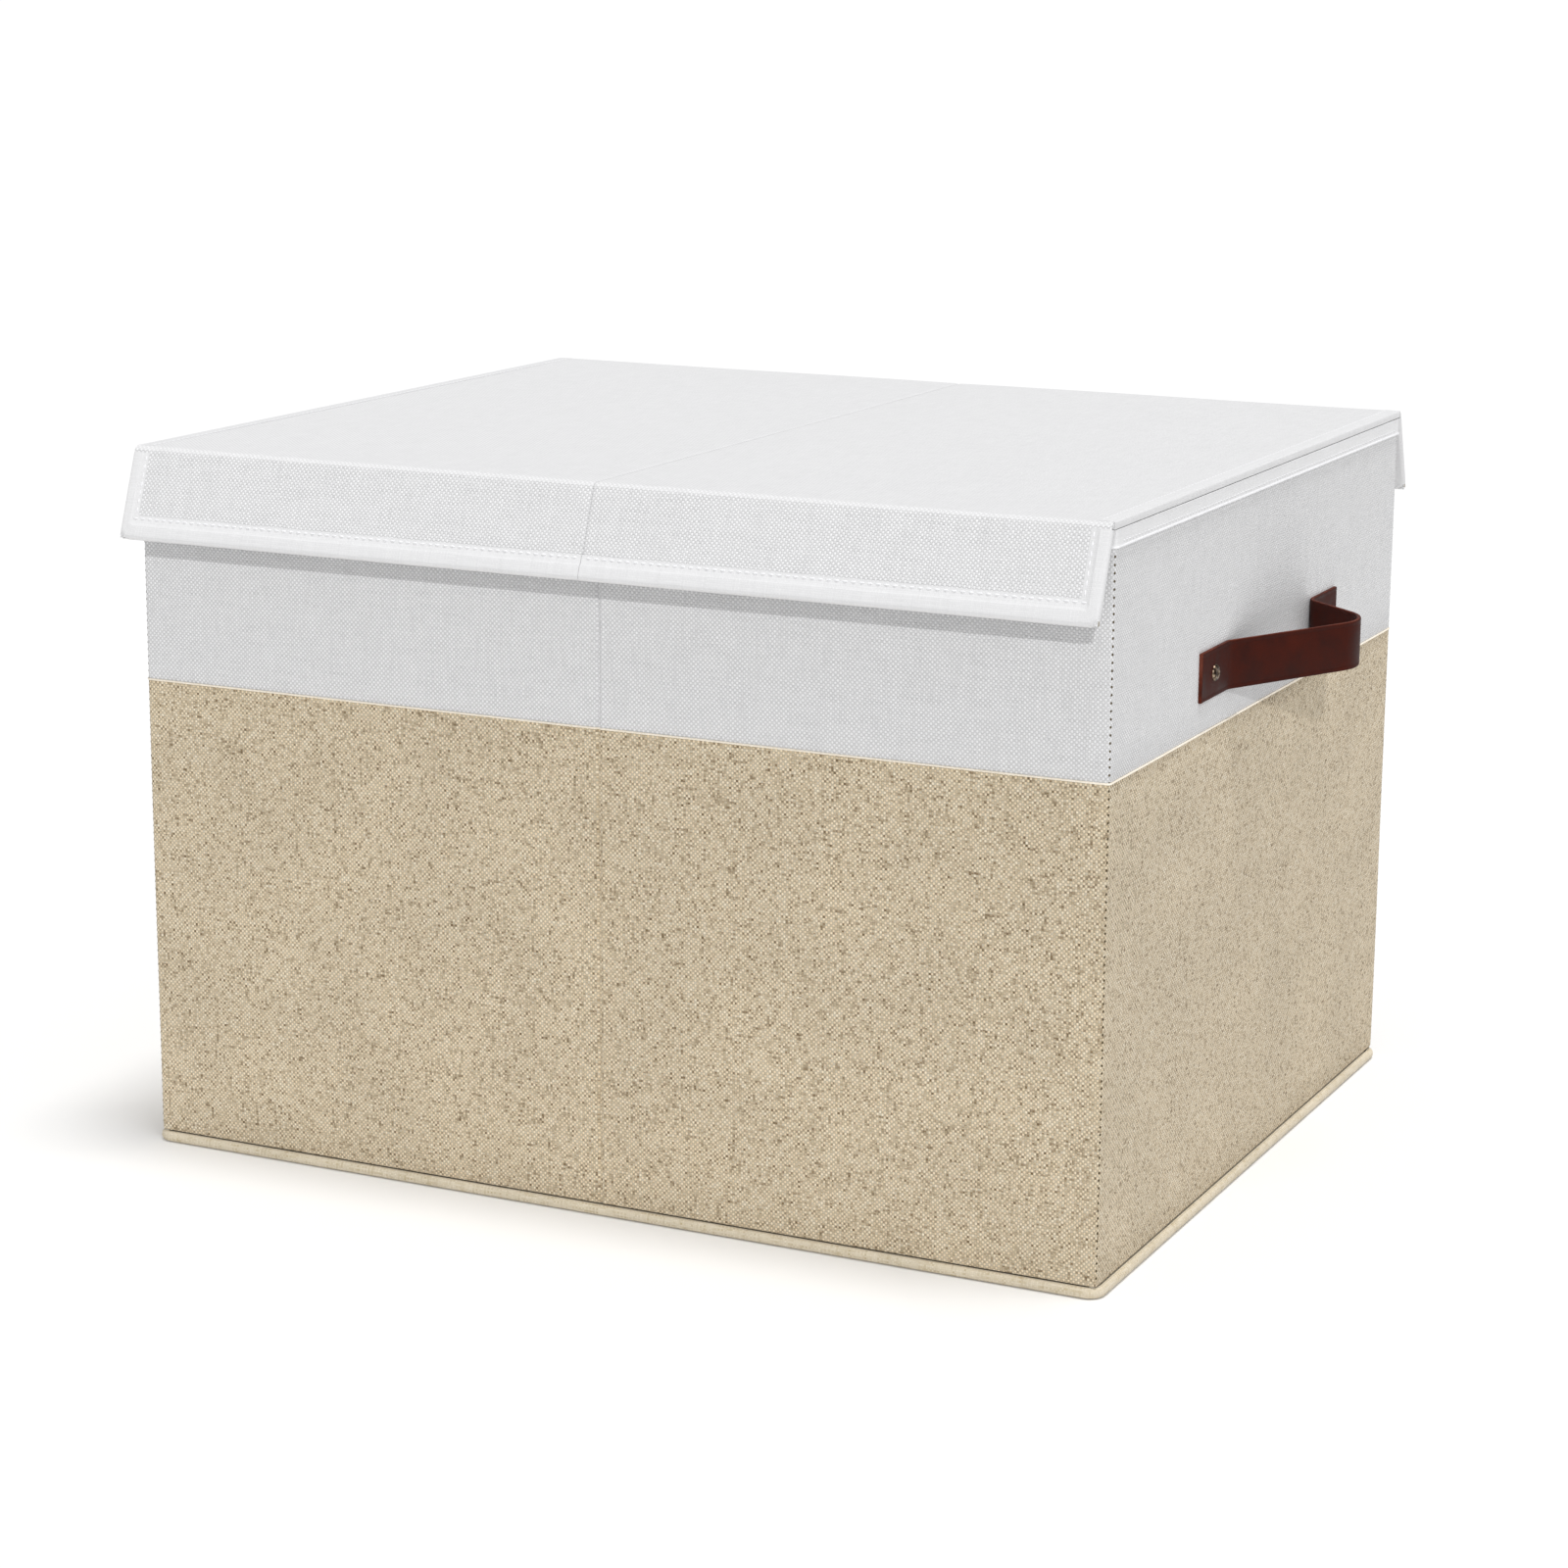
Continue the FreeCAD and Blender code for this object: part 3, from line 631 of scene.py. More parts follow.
def finished_mesh(name: str, shape: bmesh.types.BMesh, finishes: Sequence[Finish],
                  sharp: float = 40.0) -> bpy.types.Object:
    """Turn a bmesh into a shaded object in the scene.

    Args:
        name: The piece's name.
        shape: The mesh, which is freed.
        finishes: The finishes, in the order of the faces' material numbers.
        sharp: Edges that turn by more degrees than this stay sharp.

    Returns:
        The new object.
    """
    bmesh.ops.remove_doubles(shape, verts=shape.verts, dist=0.001 * MM)
    bmesh.ops.recalc_face_normals(shape, faces=shape.faces)
    mesh = bpy.data.meshes.new(name)
    shape.to_mesh(mesh)
    shape.free()
    for face in mesh.polygons:
        face.use_smooth = True
    mesh.set_sharp_from_angle(angle=math.radians(sharp))
    for finish in finishes:
        mesh.materials.append(finish.material())
    piece = bpy.data.objects.new(name, mesh)
    bpy.context.scene.collection.objects.link(piece)
    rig.slot(piece, finishes[0].slot)
    return piece


def sweep(name: str, spots: Sequence[Spot], section: Sequence[Edge], finishes: Sequence[Finish],
          place: Place = as_is, ripple: Ripple = no_ripple, edge_finish: Sequence[int] = (),
          sharp: float = 40.0) -> bpy.types.Object:
    """Carry a closed section along a line of spots, with both ends closed.

    Args:
        name: The piece's name.
        spots: The stations.
        section: The section's corners, all round.
        finishes: The piece's finishes.
        place: Where a point (x, y, high) lies in the frame.
        ripple: How far the cloth stands out at a run and a height.
        edge_finish: Numbers of the section's sides that take the second finish.
        sharp: Edges that turn by more degrees than this stay sharp.

    Returns:
        The new object.
    """
    shape = bmesh.new()
    layer = shape.loops.layers.uv.new(UV_NAME)
    rings = []
    for spot in spots:
        ring = []
        for edge in section:
            out = edge.out + ripple(spot.run, edge.high)
            x, y = spot.x + spot.out_x * out, spot.y + spot.out_y * out
            ring.append(shape.verts.new(place(x, y, edge.high)))
        rings.append(ring)
    count = len(section)
    for i in range(len(spots) - 1):
        for j in range(count):
            k = (j + 1) % count
            face = shape.faces.new((rings[i][j], rings[i + 1][j], rings[i + 1][k], rings[i][k]))
            face.material_index = 1 if j in edge_finish else 0
            low, top = section[j].along, section[k].along
            if k == 0:
                top = low + math.hypot(section[0].out - section[j].out, section[0].high - section[j].high)
            here, there = spots[i].run, spots[i + 1].run
            marks = ((here, low), (there, low), (there, top), (here, top))
            for loop, mark in zip(face.loops, marks):
                loop[layer].uv = mark
    for ring, spot in ((rings[0], spots[0]), (rings[-1], spots[-1])):
        face = shape.faces.new(ring)
        face.material_index = 1 if edge_finish else 0
        for loop, edge in zip(face.loops, section):
            loop[layer].uv = (spot.run + edge.out, edge.along)
    return finished_mesh(name, shape, finishes, sharp)


def outline(corners: Sequence[tuple[float, float]], along_is_high: bool = False) -> list[Edge]:
    """Section through a row of corners.

    Args:
        corners: Corners as (out, high).
        along_is_high: Measure the cloth by height, as on a wall, and not along the section's own length.

    Returns:
        The section.
    """
    made = []
    length = 0.0
    for i, (out, high) in enumerate(corners):
        if i:
            length += math.hypot(out - corners[i - 1][0], high - corners[i - 1][1])
        made.append(Edge(out, high, high if along_is_high else length))
    return made


def rounded(corners: Sequence[tuple[float, float, float]], steps: int = 4) -> list[tuple[float, float]]:
    """Closed outline with each corner rounded.

    Args:
        corners: Corners as (u, v, radius).
        steps: Sides that each round has.

    Returns:
        The outline's points.
    """
    points = []
    for i, (u, v, radius) in enumerate(corners):
        here = Vector((u, v))
        if radius <= 0:
            points.append((u, v))
            continue
        before = (Vector(corners[i - 1][:2]) - here).normalized()
        after = (Vector(corners[(i + 1) % len(corners)][:2]) - here).normalized()
        half = before.angle(after) / 2
        reach = radius / math.tan(half)
        centre = here + (before + after).normalized() * (radius / math.sin(half))
        first = here + before * reach - centre
        last = here + after * reach - centre
        for step in range(steps + 1):
            leg = first.lerp(last, step / steps).normalized() * radius
            points.append((centre.x + leg.x, centre.y + leg.y))
    return points


def even(start: float, stop: float, step: float) -> list[float]:
    """Evenly spaced numbers, with both ends in.

    Args:
        start: The first number.
        stop: The last number.
        step: About how far they are apart.

    Returns:
        The numbers.
    """
    count = max(1, round(abs(stop - start) / step))
    return [start + (stop - start) * i / count for i in range(count + 1)]


def stitch_row(name: str, middles: Sequence[tuple[Vector, Vector, Vector]], long: float, wide: float,
               tall: float, finish: Finish) -> bpy.types.Object:
    """A row of thread loops lying on the cloth, each a small rounded pad that dips at its ends.

    Args:
        name: The piece's name.
        middles: Each stitch's middle, direction and outward normal.
        long: Length of a stitch.
        wide: Width of the thread.
        tall: How far it stands off the cloth.
        finish: The thread.

    Returns:
        The new object.
    """
    shape = bmesh.new()
    layer = shape.loops.layers.uv.new(UV_NAME)
    rings_at = ((-1.0, 0.0), (-0.82, 0.6), (-0.4, 0.95), (0.0, 1.0), (0.4, 0.95), (0.82, 0.6), (1.0, 0.0))
    sides = 6
    for number, (middle, along, normal) in enumerate(middles):
        side = along.cross(normal).normalized()
        rings = []
        for share, swell in rings_at[1:-1]:
            centre = middle + along * (share * long / 2) - normal * (0.45 * tall * abs(share))
            ring = []
            for i in range(sides):
                angle = 2 * math.pi * i / sides
                arm = side * (math.cos(angle) * wide / 2 * swell) + normal * (math.sin(angle) * tall * swell)
                ring.append(shape.verts.new(centre + arm))
            rings.append(ring)
        tips = [shape.verts.new(middle + along * (share * long / 2) - normal * (0.5 * tall))
                for share in (-1.0, 1.0)]
        faces = []
        for first, last in zip(rings, rings[1:]):
            for i in range(sides):
                faces.append((first[i], first[(i + 1) % sides], last[(i + 1) % sides], last[i]))
        for ring, tip in ((rings[0], tips[0]), (rings[-1], tips[1])):
            for i in range(sides):
                faces.append((ring[i], ring[(i + 1) % sides], tip))
        for corners in faces:
            face = shape.faces.new(corners)
            for loop in face.loops:
                away = loop.vert.co - middle
                loop[layer].uv = (number * 1.7 * MM + away.dot(along), away.dot(side))
    return finished_mesh(name, shape, (finish,), 80.0)


# ---------------------------------------------------------------- the walls' line
class Side(Enum):
    """The four faces of the bin. The value is the outward direction in plan."""

    FRONT = (0, -1)
    REAR = (0, 1)
    LEFT = (-1, 0)
    RIGHT = (1, 0)


JOINT_AT = {joint["name"]: joint for joint in frame["joints"]}


@dataclass
class Plan:
    """The bin's walls as the frame gives them, and lines that follow their cloth."""

    cloth_proud_end: float = 0.3 * MM
    cloth_proud_front: float = 0.5 * MM
    corner_round: float = 1.6 * MM
    corner_reach: float = 7.0 * MM
    crease_reach: float = 5.0 * MM
    crease_dip: float = 0.95 * MM
    crease_ridge: float = 0.3 * MM
    crease_shoulder: float = 0.75 * MM
    ripple_tall: float = 0.3 * MM
    half_wide: float = field(init=False)
    half_deep: float = field(init=False)
    foot: float = field(init=False)
    seam: float = field(init=False)
    rim_low: float = field(init=False)
    rim_top: float = field(init=False)
    inner_wide: float = field(init=False)
    inner_deep: float = field(init=False)

    def __post_init__(self) -> None:
        """Read the walls' sizes from the frame."""
        self.half_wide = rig.box("right_end_lower_cloth")[1].x + self.cloth_proud_end
        self.half_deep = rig.box("rear_left_lower_cloth")[1].y + self.cloth_proud_front
        self.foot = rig.box("front_left_lower_cloth")[0].z
        self.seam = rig.box("front_left_upper_cloth")[0].z
        self.rim_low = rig.box("front_left_rim_tape")[0].z
        self.rim_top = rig.box("front_left_rim_tape")[1].z
        self.inner_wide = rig.box("right_end_lining")[0].x
        self.inner_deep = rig.box("rear_left_lining")[0].y

    def run_at(self, side: Side, place: float) -> float:
        """Distance round the bin, from the middle of the front.

        Args:
            side: The side.
            place: x on the front or rear, or y on an end.

        Returns:
            The distance to that place.
        """
        if side is Side.FRONT:
            return place
        if side is Side.RIGHT:
            return self.half_wide + place + self.half_deep
        if side is Side.LEFT:
            return -self.half_wide - place - self.half_deep
        return 2 * self.half_wide + 2 * self.half_deep - place

    def on_side(self, side: Side, places: Sequence[float], wide: float | None = None,
                deep: float | None = None, dip: Callable[[float], float] | None = None) -> list[Spot]:
        """Stations along one side.

        Args:
            side: The side.
            places: Their x on the front and rear, or y on the ends.
            wide: Half width of the line, or the cloth's own.
            deep: Half depth of the line, or the cloth's own.
            dip: How far the line steps inwards at a place.

        Returns:
            The stations.
        """
        wide = self.half_wide if wide is None else wide
        deep = self.half_deep if deep is None else deep
        out_x, out_y = side.value
        spots = []
        for place in places:
            inwards = dip(place) if dip else 0.0
            x = place if out_y else out_x * (wide - inwards)
            y = place if out_x else out_y * (deep - inwards)
            spots.append(Spot(x, y, out_x, out_y, self.run_at(side, place)))
        return spots

    def round_corner(self, face: Side, end: Side, radius: float, reach: float, wide: float | None = None,
                     deep: float | None = None, steps: int = 7) -> list[Spot]:
        """Stations from the front or rear face, round a corner, onto an end.

        Args:
            face: The front or rear.
            end: The left or right end.
            radius: The corner's radius.
            reach: How far from the corner the line starts and stops.
            wide: Half width of the line, or the cloth's own.
            deep: Half depth of the line, or the cloth's own.
            steps: Sides of the round.

        Returns:
            The stations.
        """
        wide = self.half_wide if wide is None else wide
        deep = self.half_deep if deep is None else deep
        to_x, to_y = end.value[0], face.value[1]
        corner_x, corner_y = to_x * wide, to_y * deep
        run_corner = self.run_at(face, to_x * self.half_wide)
        forward = to_x if face is Side.FRONT else -to_x
        spots = []
        for back in even(reach, radius, 1.5 * MM)[:-1]:
            spots.append(Spot(corner_x - to_x * back, corner_y, 0.0, to_y, run_corner - forward * back))
        for step in range(steps + 1):
            turn = math.pi / 2 * step / steps
            out_x, out_y = to_x * math.sin(turn), to_y * math.cos(turn)
            x = corner_x - to_x * radius + out_x * radius
            y = corner_y - to_y * radius + out_y * radius
            spots.append(Spot(x, y, out_x, out_y, run_corner + forward * radius * (2 * step / steps - 1)))
        for back in even(radius, reach, 1.5 * MM)[1:]:
            spots.append(Spot(corner_x, corner_y - to_y * back, to_x, 0.0, run_corner + forward * back))
        return spots

    def crease_line(self, place: float) -> float:
        """The crease in plan: a groove with a pressed ridge beside it.

        Args:
            place: Distance from the crease, along the wall.

        Returns:
            How far the cloth dips there.
        """
        groove = math.exp(-((place + 0.4 * self.crease_shoulder) / self.crease_shoulder) ** 2)
        ridge = math.exp(-((place - 2 * self.crease_shoulder) / self.crease_shoulder) ** 2)
        return self.crease_dip * groove - self.crease_ridge * ridge

    def ripple(self, run: float, high: float) -> float:
        """Slight fullness of cloth over board, none at the rim and the foot.

        Args:
            run: Distance round the bin.
            high: Height over the floor.

        Returns:
            How far the cloth stands out there.
        """
        share = (high - self.foot) / (self.rim_low - self.foot)
        window = max(0.0, math.sin(math.pi * min(1.0, max(0.0, share)))) ** 0.5
        round_it = 2 * math.pi * run / (4 * (self.half_wide + self.half_deep))
        wave = math.sin(9 * round_it + 14 * high) + math.sin(17 * round_it - 23 * high + 1.0)
        wave += 0.7 * math.sin(5 * round_it + 31 * high + 2.2)
        return self.ripple_tall * window * (wave / 5.4 + 0.5)


@dataclass(frozen=True)
class Stretch:
    """A length of wall that one body carries, or that bends between two."""

    name: str
    spots: list[Spot]
    body: str
    other: str = ""
    start: tuple[float, float, float] = (0.0, 0.0, 0.0)
    end: tuple[float, float, float] = (0.0, 0.0, 0.0)

    def carry(self, piece: bpy.types.Object) -> bpy.types.Object:
        """Tie a piece to the body, or bend it between the two.

        Args:
            piece: The piece.

        Returns:
            The same piece.
        """
        if self.other:
            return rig.blend(piece, self.body, self.other, self.start, self.end)
        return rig.ride(piece, self.body)


# ---------------------------------------------------------------- walls
WALL_BODIES = {
    "left_end": Side.LEFT, "right_end": Side.RIGHT, "front_left": Side.FRONT, "front_right": Side.FRONT,
    "rear_left": Side.REAR, "rear_right": Side.REAR,
}


@dataclass
class Walls:
    """Cloth, seam, rim tape, lining and bottom binding of the six wall panels and the bends between them."""

    plan: Plan
    cloth: float = 0.4 * MM
    cloth_step: float = 12.0 * MM
    seam_cord: float = 0.42 * MM
    tape_proud: float = 0.45 * MM
    tape_thick: float = 0.35 * MM
    tape_bead: float = 0.2 * MM
    bead_radius: float = 0.6 * MM
    stitch_pitch: float = 3.3 * MM
    stitch_long: float = 2.4 * MM
    needle_pitch: float = 3.05 * MM
    binding_round: float = 7.0 * MM
    binding_reach: float = 9.0 * MM
    binding_crease: float = 4.6 * MM
    lining_crease: float = 4.0 * MM
    bend_width: float = 1.6 * MM
    tuck: float = 0.45 * MM
    lap_reach: float = 0.9 * MM
    half_tape_end: float = 211.1 * MM
    end_tape_back: float = 1.2 * MM
    thread_wide: float = 0.5 * MM
    thread_tall: float = 0.2 * MM
    needle_long: float = 1.15 * MM
    needle_wide: float = 0.85 * MM
    needle_tall: float = 0.1 * MM

    def panel_places(self, body: str, corner: float, crease: float, wide: float, deep: float) -> list[float]:
        """Where the flat part of a wall panel runs.

        Args:
            body: The wall's body.
            corner: How far it stops short of the corner.
            crease: How far it stops short of the crease.
            wide: Half width of the line.
            deep: Half depth of the line.

        Returns:
            Places as y on an end wall, or x on a half wall.
        """
        side = WALL_BODIES[body]
        if side.value[1] == 0:
            return even(-(deep - corner), deep - corner, self.cloth_step)
        if body.endswith("left"):
            return even(-(wide - corner), -crease, self.cloth_step)
        return even(crease, wide - corner, self.cloth_step)

    def panels(self, corner: float, crease: float, wide: float, deep: float) -> list[Stretch]:
        """The six flat stretches that each ride on one wall body.

        Args:
            corner: How far they stop short of the corners.
            crease: How far they stop short of the creases.
            wide: Half width of the line.
            deep: Half depth of the line.

        Returns:
            The stretches.
        """
        stretches = []
        for body, side in WALL_BODIES.items():
            places = self.panel_places(body, corner, crease, wide, deep)
            stretches.append(Stretch(body, self.plan.on_side(side, places, wide, deep), body))
        return stretches

    def corner_bends(self, radius: float, reach: float, wide: float, deep: float) -> list[Stretch]:
        """The four corners. The rear right one has no hinge: the right end's cloth laps over the rear wall's.

        Args:
            radius: The corner's radius.
            reach: How far from the corner the line starts and stops.
            wide: Half width of the line.
            deep: Half depth of the line.

        Returns:
            The stretches, two of them at the rear right corner.
        """
        bends = []
        for name, face, end, face_body, end_body in (
            ("corner_front_left", Side.FRONT, Side.LEFT, "front_left", "left_end"),
            ("corner_front_right", Side.FRONT, Side.RIGHT, "front_right", "right_end"),
            ("corner_rear_left", Side.REAR, Side.LEFT, "rear_left", "left_end"),
            ("corner_rear_right", Side.REAR, Side.RIGHT, "rear_right", "right_end"),
        ):
            spots = self.plan.round_corner(face, end, radius, reach, wide, deep)
            to_x, to_y = end.value[0], face.value[1]
            on_face = (to_x * (wide - 0.7 * reach), to_y * deep, 0.0)
            on_end = (to_x * wide, to_y * (deep - 0.7 * reach), 0.0)
            if name == "corner_rear_right":
                near = radius + self.lap_reach
                over = [spot for spot in spots if wide - spot.x < near]
                sunk = [Spot(s.x - s.out_x * self.tuck, s.y - s.out_y * self.tuck, s.out_x, s.out_y, s.run)
                        if wide - s.x < near else s for s in spots]
                bends.append(Stretch(name, over, end_body))
                bends.append(Stretch(f"{name}_tuck", sunk, face_body))
            else:
                bends.append(Stretch(name, spots, end_body, face_body, on_end, on_face))
        return bends

    def crease_bends(self, reach: float, bend: float, wide: float, deep: float,
                     dipped: bool) -> list[Stretch]:
        """The bends of the front and rear walls at their middle creases.

        Args:
            reach: How far from the crease the bend's piece starts and stops.
            bend: How far from the crease the bend itself starts and stops.
            wide: Half width of the line.
            deep: Half depth of the line.
            dipped: Follow the crease's groove and ridge.

        Returns:
            The two stretches.
        """
        dip = self.plan.crease_line if dipped else None
        step = 0.4 * MM if dipped else 0.8 * MM
        bends = []
        for name, side, sign in (("front", Side.FRONT, -1), ("rear", Side.REAR, 1)):
            spots = self.plan.on_side(side, even(-reach, reach, step), wide, deep, dip)
            bends.append(Stretch(f"crease_{name}", spots, f"{name}_left", f"{name}_right",
                                 (-bend, sign * deep, 0.0), (bend, sign * deep, 0.0)))
        return bends

    def cloth_stretches(self) -> list[Stretch]:
        """Everywhere that the outer cloth runs.

        Returns:
            The panels, the corners and the creases.
        """
        plan = self.plan
        wide, deep = plan.half_wide, plan.half_deep
        return (
            self.panels(plan.corner_reach, plan.crease_reach, wide, deep)
            + self.corner_bends(plan.corner_round, plan.corner_reach, wide, deep)
            + self.crease_bends(plan.crease_reach, self.bend_width, wide, deep, True)
        )

    def cloth_section(self, low: float, top: float, low_tuck: float, top_tuck: float) -> list[Edge]:
        """Section of a cloth band, its edges turned in.

        Args:
            low: Height of its lower edge.
            top: Height of its upper edge.
            low_tuck: How far the lower edge turns in.
            top_tuck: How far the upper edge turns in.

        Returns:
            The section.
        """
        turn = 0.7 * MM
        outer = [(-low_tuck, low)] + [(0.0, high) for high in even(low + turn, top - turn, self.cloth_step)]
        outer.append((-top_tuck, top))
        inner = [(-self.cloth, high) for high in even(top, low, 2 * self.cloth_step)]
        return outline(outer + inner, True)

    def build_cloth(self) -> None:
        """Lower and upper cloth, and the cord of the seam between them."""
        plan = self.plan
        lower = self.cloth_section(plan.foot + 0.5 * MM, plan.seam, 0.3 * MM, 0.25 * MM)
        upper = self.cloth_section(plan.seam, plan.rim_top - self.tape_thick, 0.25 * MM, 0.0)
        bands = (("lower_cloth", LINEN_LOOK, lower), ("upper_cloth", WHITE_CANVAS, upper))
        cord = [(0.15 * MM + self.seam_cord * math.cos(a), plan.seam + self.seam_cord * math.sin(a))
                for a in (math.pi * i / 4 for i in range(8))]
        for stretch in self.cloth_stretches():
            # The seam's cord takes the pale facing finish, whose extra paleness is a painted highlight.
            line = sweep(f"{stretch.name}_seam_cord", stretch.spots, outline(cord), (SEAM_FACING_HIGHLIGHT,),
                         ripple=lambda run, high: plan.ripple(run, plan.seam))
            stretch.carry(line)
            for band, finish, section in bands:
                piece = sweep(f"{stretch.name}_{band}_woven", stretch.spots, section, (finish,),
                              ripple=plan.ripple)
                stretch.carry(piece)
                if not stretch.other and stretch.name in WALL_BODIES:
                    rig.replaces(piece, f"{stretch.name}_{band}")
                    long = abs(stretch.spots[-1].run - stretch.spots[0].run)
                    low, top = section[0].high, max(edge.high for edge in section)
                    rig.sheet(piece, flat=(long, top - low), held="stretched",
                             rests_on=[f"{stretch.name}_board"],
                             with_pieces=[line] if band == "upper_cloth" else [])
                log.info("%s on %s", piece.name, stretch.body)

    def build_rim(self) -> None:
        """Tape folded over the rim, beaded at its lower edge and stitched."""
        plan = self.plan
        low, top = plan.rim_low, plan.rim_top
        proud, thick, bead = self.tape_proud, self.tape_thick, self.tape_bead
        for body, side in WALL_BODIES.items():
            is_end = side.value[1] == 0
            depth = plan.half_wide - plan.inner_wide if is_end else plan.half_deep - plan.inner_deep
            depth += thick
            back = self.end_tape_back if is_end else plan.half_wide - self.half_tape_end
            places = self.panel_places(body, back, 0.6 * MM, plan.half_wide, plan.half_deep)
            section = outline(rounded((
                (0.02 * MM, low, 0), (proud + bead, low, 0.25 * MM),
                (proud + bead, low + 1.1 * MM, 0.25 * MM), (proud, low + 1.4 * MM, 0),
                (proud, top, 0.15 * MM), (-depth, top, 0.15 * MM), (-depth, low, 0),
                (-depth + thick, low, 0), (-depth + thick, top - thick, 0), (0.02 * MM, top - thick, 0),
            )))
            tape = sweep(f"{body}_rim_tape_folded", plan.on_side(side, places), section, (BINDING_TAPE,))
            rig.replaces(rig.ride(tape, body), f"{body}_rim_tape")
            spots = plan.on_side(side, even(places[0] + 6 * MM, places[-1] - 6 * MM, self.stitch_pitch))
            along = Vector((side.value[1], side.value[0], 0))
            normal = Vector((*side.value, 0))
            middles = [(Vector((s.x, s.y, low + 2.3 * MM)) + normal * proud, along, normal) for s in spots]
            thread = stitch_row(f"{body}_rim_stitches", middles, self.stitch_long, self.thread_wide,
                                self.thread_tall, WHITE_THREAD_AND_BEAD_HIGHLIGHT)
            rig.ride(thread, body)
            log.info("rim tape on %s with %d stitches", body, len(middles))
        lip = outline(rounded((
            (0.0, low, 0), (proud + bead + 0.06 * MM, low, 0.25 * MM),
            (proud + bead + 0.06 * MM, low + 1.1 * MM, 0.25 * MM), (proud + 0.06 * MM, low + 1.4 * MM, 0),
            (proud + 0.06 * MM, top + 0.03 * MM, 0.15 * MM), (-1.25 * MM, top + 0.03 * MM, 0),
            (-1.25 * MM, top - 0.3 * MM, 0), (0.0, top - 0.3 * MM, 0),
        )))
        bends = self.corner_bends(plan.corner_round, plan.corner_reach, plan.half_wide, plan.half_deep)
        for stretch in bends:
            stretch.carry(sweep(f"{stretch.name}_rim_tape", stretch.spots, lip, (BINDING_TAPE,)))
        # Painted highlight: the bead along the rim tape's lower edge takes the brighter thread finish, so it shows as a
        # bright line.
        bead_highlight_line = [(proud + self.bead_radius * math.cos(a), low + 0.5 * MM + self.bead_radius * math.sin(a))
                     for a in (math.pi * i / 4 for i in range(8))]
        for stretch in self.cloth_stretches():
            cord = sweep(f"{stretch.name}_rim_bead", stretch.spots, outline(bead_highlight_line), (WHITE_THREAD_AND_BEAD_HIGHLIGHT,))
            stretch.carry(cord)

    def build_lining(self) -> None:
        """Pressed lining on the inner faces, bending with the creases."""
        plan = self.plan
        wide, deep = plan.inner_wide, plan.inner_deep
        top = plan.rim_top - self.tape_thick
        skin = outline(((0.0, plan.foot), (0.0, top), (self.cloth, top), (self.cloth, plan.foot)), True)
        stretches = self.panels(0.0, self.lining_crease, wide, deep)
        stretches += self.crease_bends(self.lining_crease, self.bend_width, wide, deep, False)
        for stretch in stretches:
            piece = sweep(f"{stretch.name}_lining_pressed", stretch.spots, skin, (LINING_WEB,))
            stretch.carry(piece)
            if not stretch.other:
                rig.replaces(piece, f"{stretch.name}_lining")
                long = abs(stretch.spots[-1].run - stretch.spots[0].run)
                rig.sheet(piece, flat=(long, top - plan.foot), held="stretched",
                         rests_on=[f"{stretch.name}_board"])
            log.info("lining on %s", stretch.name)

    def build_binding(self) -> None:
        """Bound seam round the foot, rounded at the corners, with a sunk line beside the wall."""
        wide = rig.box("right_end_piping")[1].x
        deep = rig.box("rear_left_piping")[1].y
        tall = self.plan.foot
        section = outline(rounded((
            (-5.0 * MM, 0.1 * MM, 0), (0.0, 0.0, 1.9 * MM), (0.0, tall, 2.1 * MM),
            (-1.7 * MM, tall, 0.5 * MM),
            (-2.2 * MM, tall - 0.8 * MM, 0.25 * MM), (-5.0 * MM, tall - 0.8 * MM, 0),
        ), 5))
        stretches = self.panels(self.binding_reach, self.binding_crease, wide, deep)
        stretches += self.corner_bends(self.binding_round, self.binding_reach, wide, deep)
        stretches += self.crease_bends(self.binding_crease, 3.0 * MM, wide, deep, False)
        for stretch in stretches:
            piece = sweep(f"{stretch.name}_bottom_binding", stretch.spots, section, (BOTTOM_BINDING,))
            stretch.carry(piece)
            if stretch.name in WALL_BODIES:
                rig.replaces(piece, f"{stretch.name}_piping")
            log.info("binding on %s", stretch.name)

    def build_needle_holes(self) -> None:
        """The line of needle holes down each sewn corner."""
        plan = self.plan
        heights = even(plan.foot + 4 * MM, plan.rim_low - 3 * MM, self.needle_pitch)
        bends = self.corner_bends(plan.corner_round, plan.corner_reach, plan.half_wide, plan.half_deep)
        for stretch in bends:
            if stretch.name.endswith("_tuck"):
                continue
            spot = min(stretch.spots, key=lambda s: abs(abs(s.out_x) - abs(s.out_y)))
            normal = Vector((spot.out_x, spot.out_y, 0)).normalized()
            up = Vector((0, 0, 1))
            middles = []
            for high in heights:
                out = plan.ripple(spot.run, high) + 0.02 * MM
                middles.append((Vector((spot.x, spot.y, high)) + normal * out, up, normal))
            holes = stitch_row(f"{stretch.name}_needle_holes", middles, self.needle_long, self.needle_wide,
                               self.needle_tall, NEEDLE_HOLE)
            stretch.carry(holes)
            log.info("%d needle holes on %s", len(middles), stretch.name)

    def build(self) -> None:
        """Every layer of the walls, and the boards' own finish."""
        self.build_cloth()
        self.build_rim()
        self.build_lining()
        self.build_binding()
        self.build_needle_holes()
        for body in WALL_BODIES:
            dress_node(f"{body}_board", GREYBOARD)


def dress_node(node: str, finish: Finish) -> None:
    """Give a carried-over CAD node a finish.

    Args:
        node: The node's name.
        finish: What it is made of.
    """
    held = frame["nodes"][node]
    held.data.materials.clear()
    held.data.materials.append(finish.material())


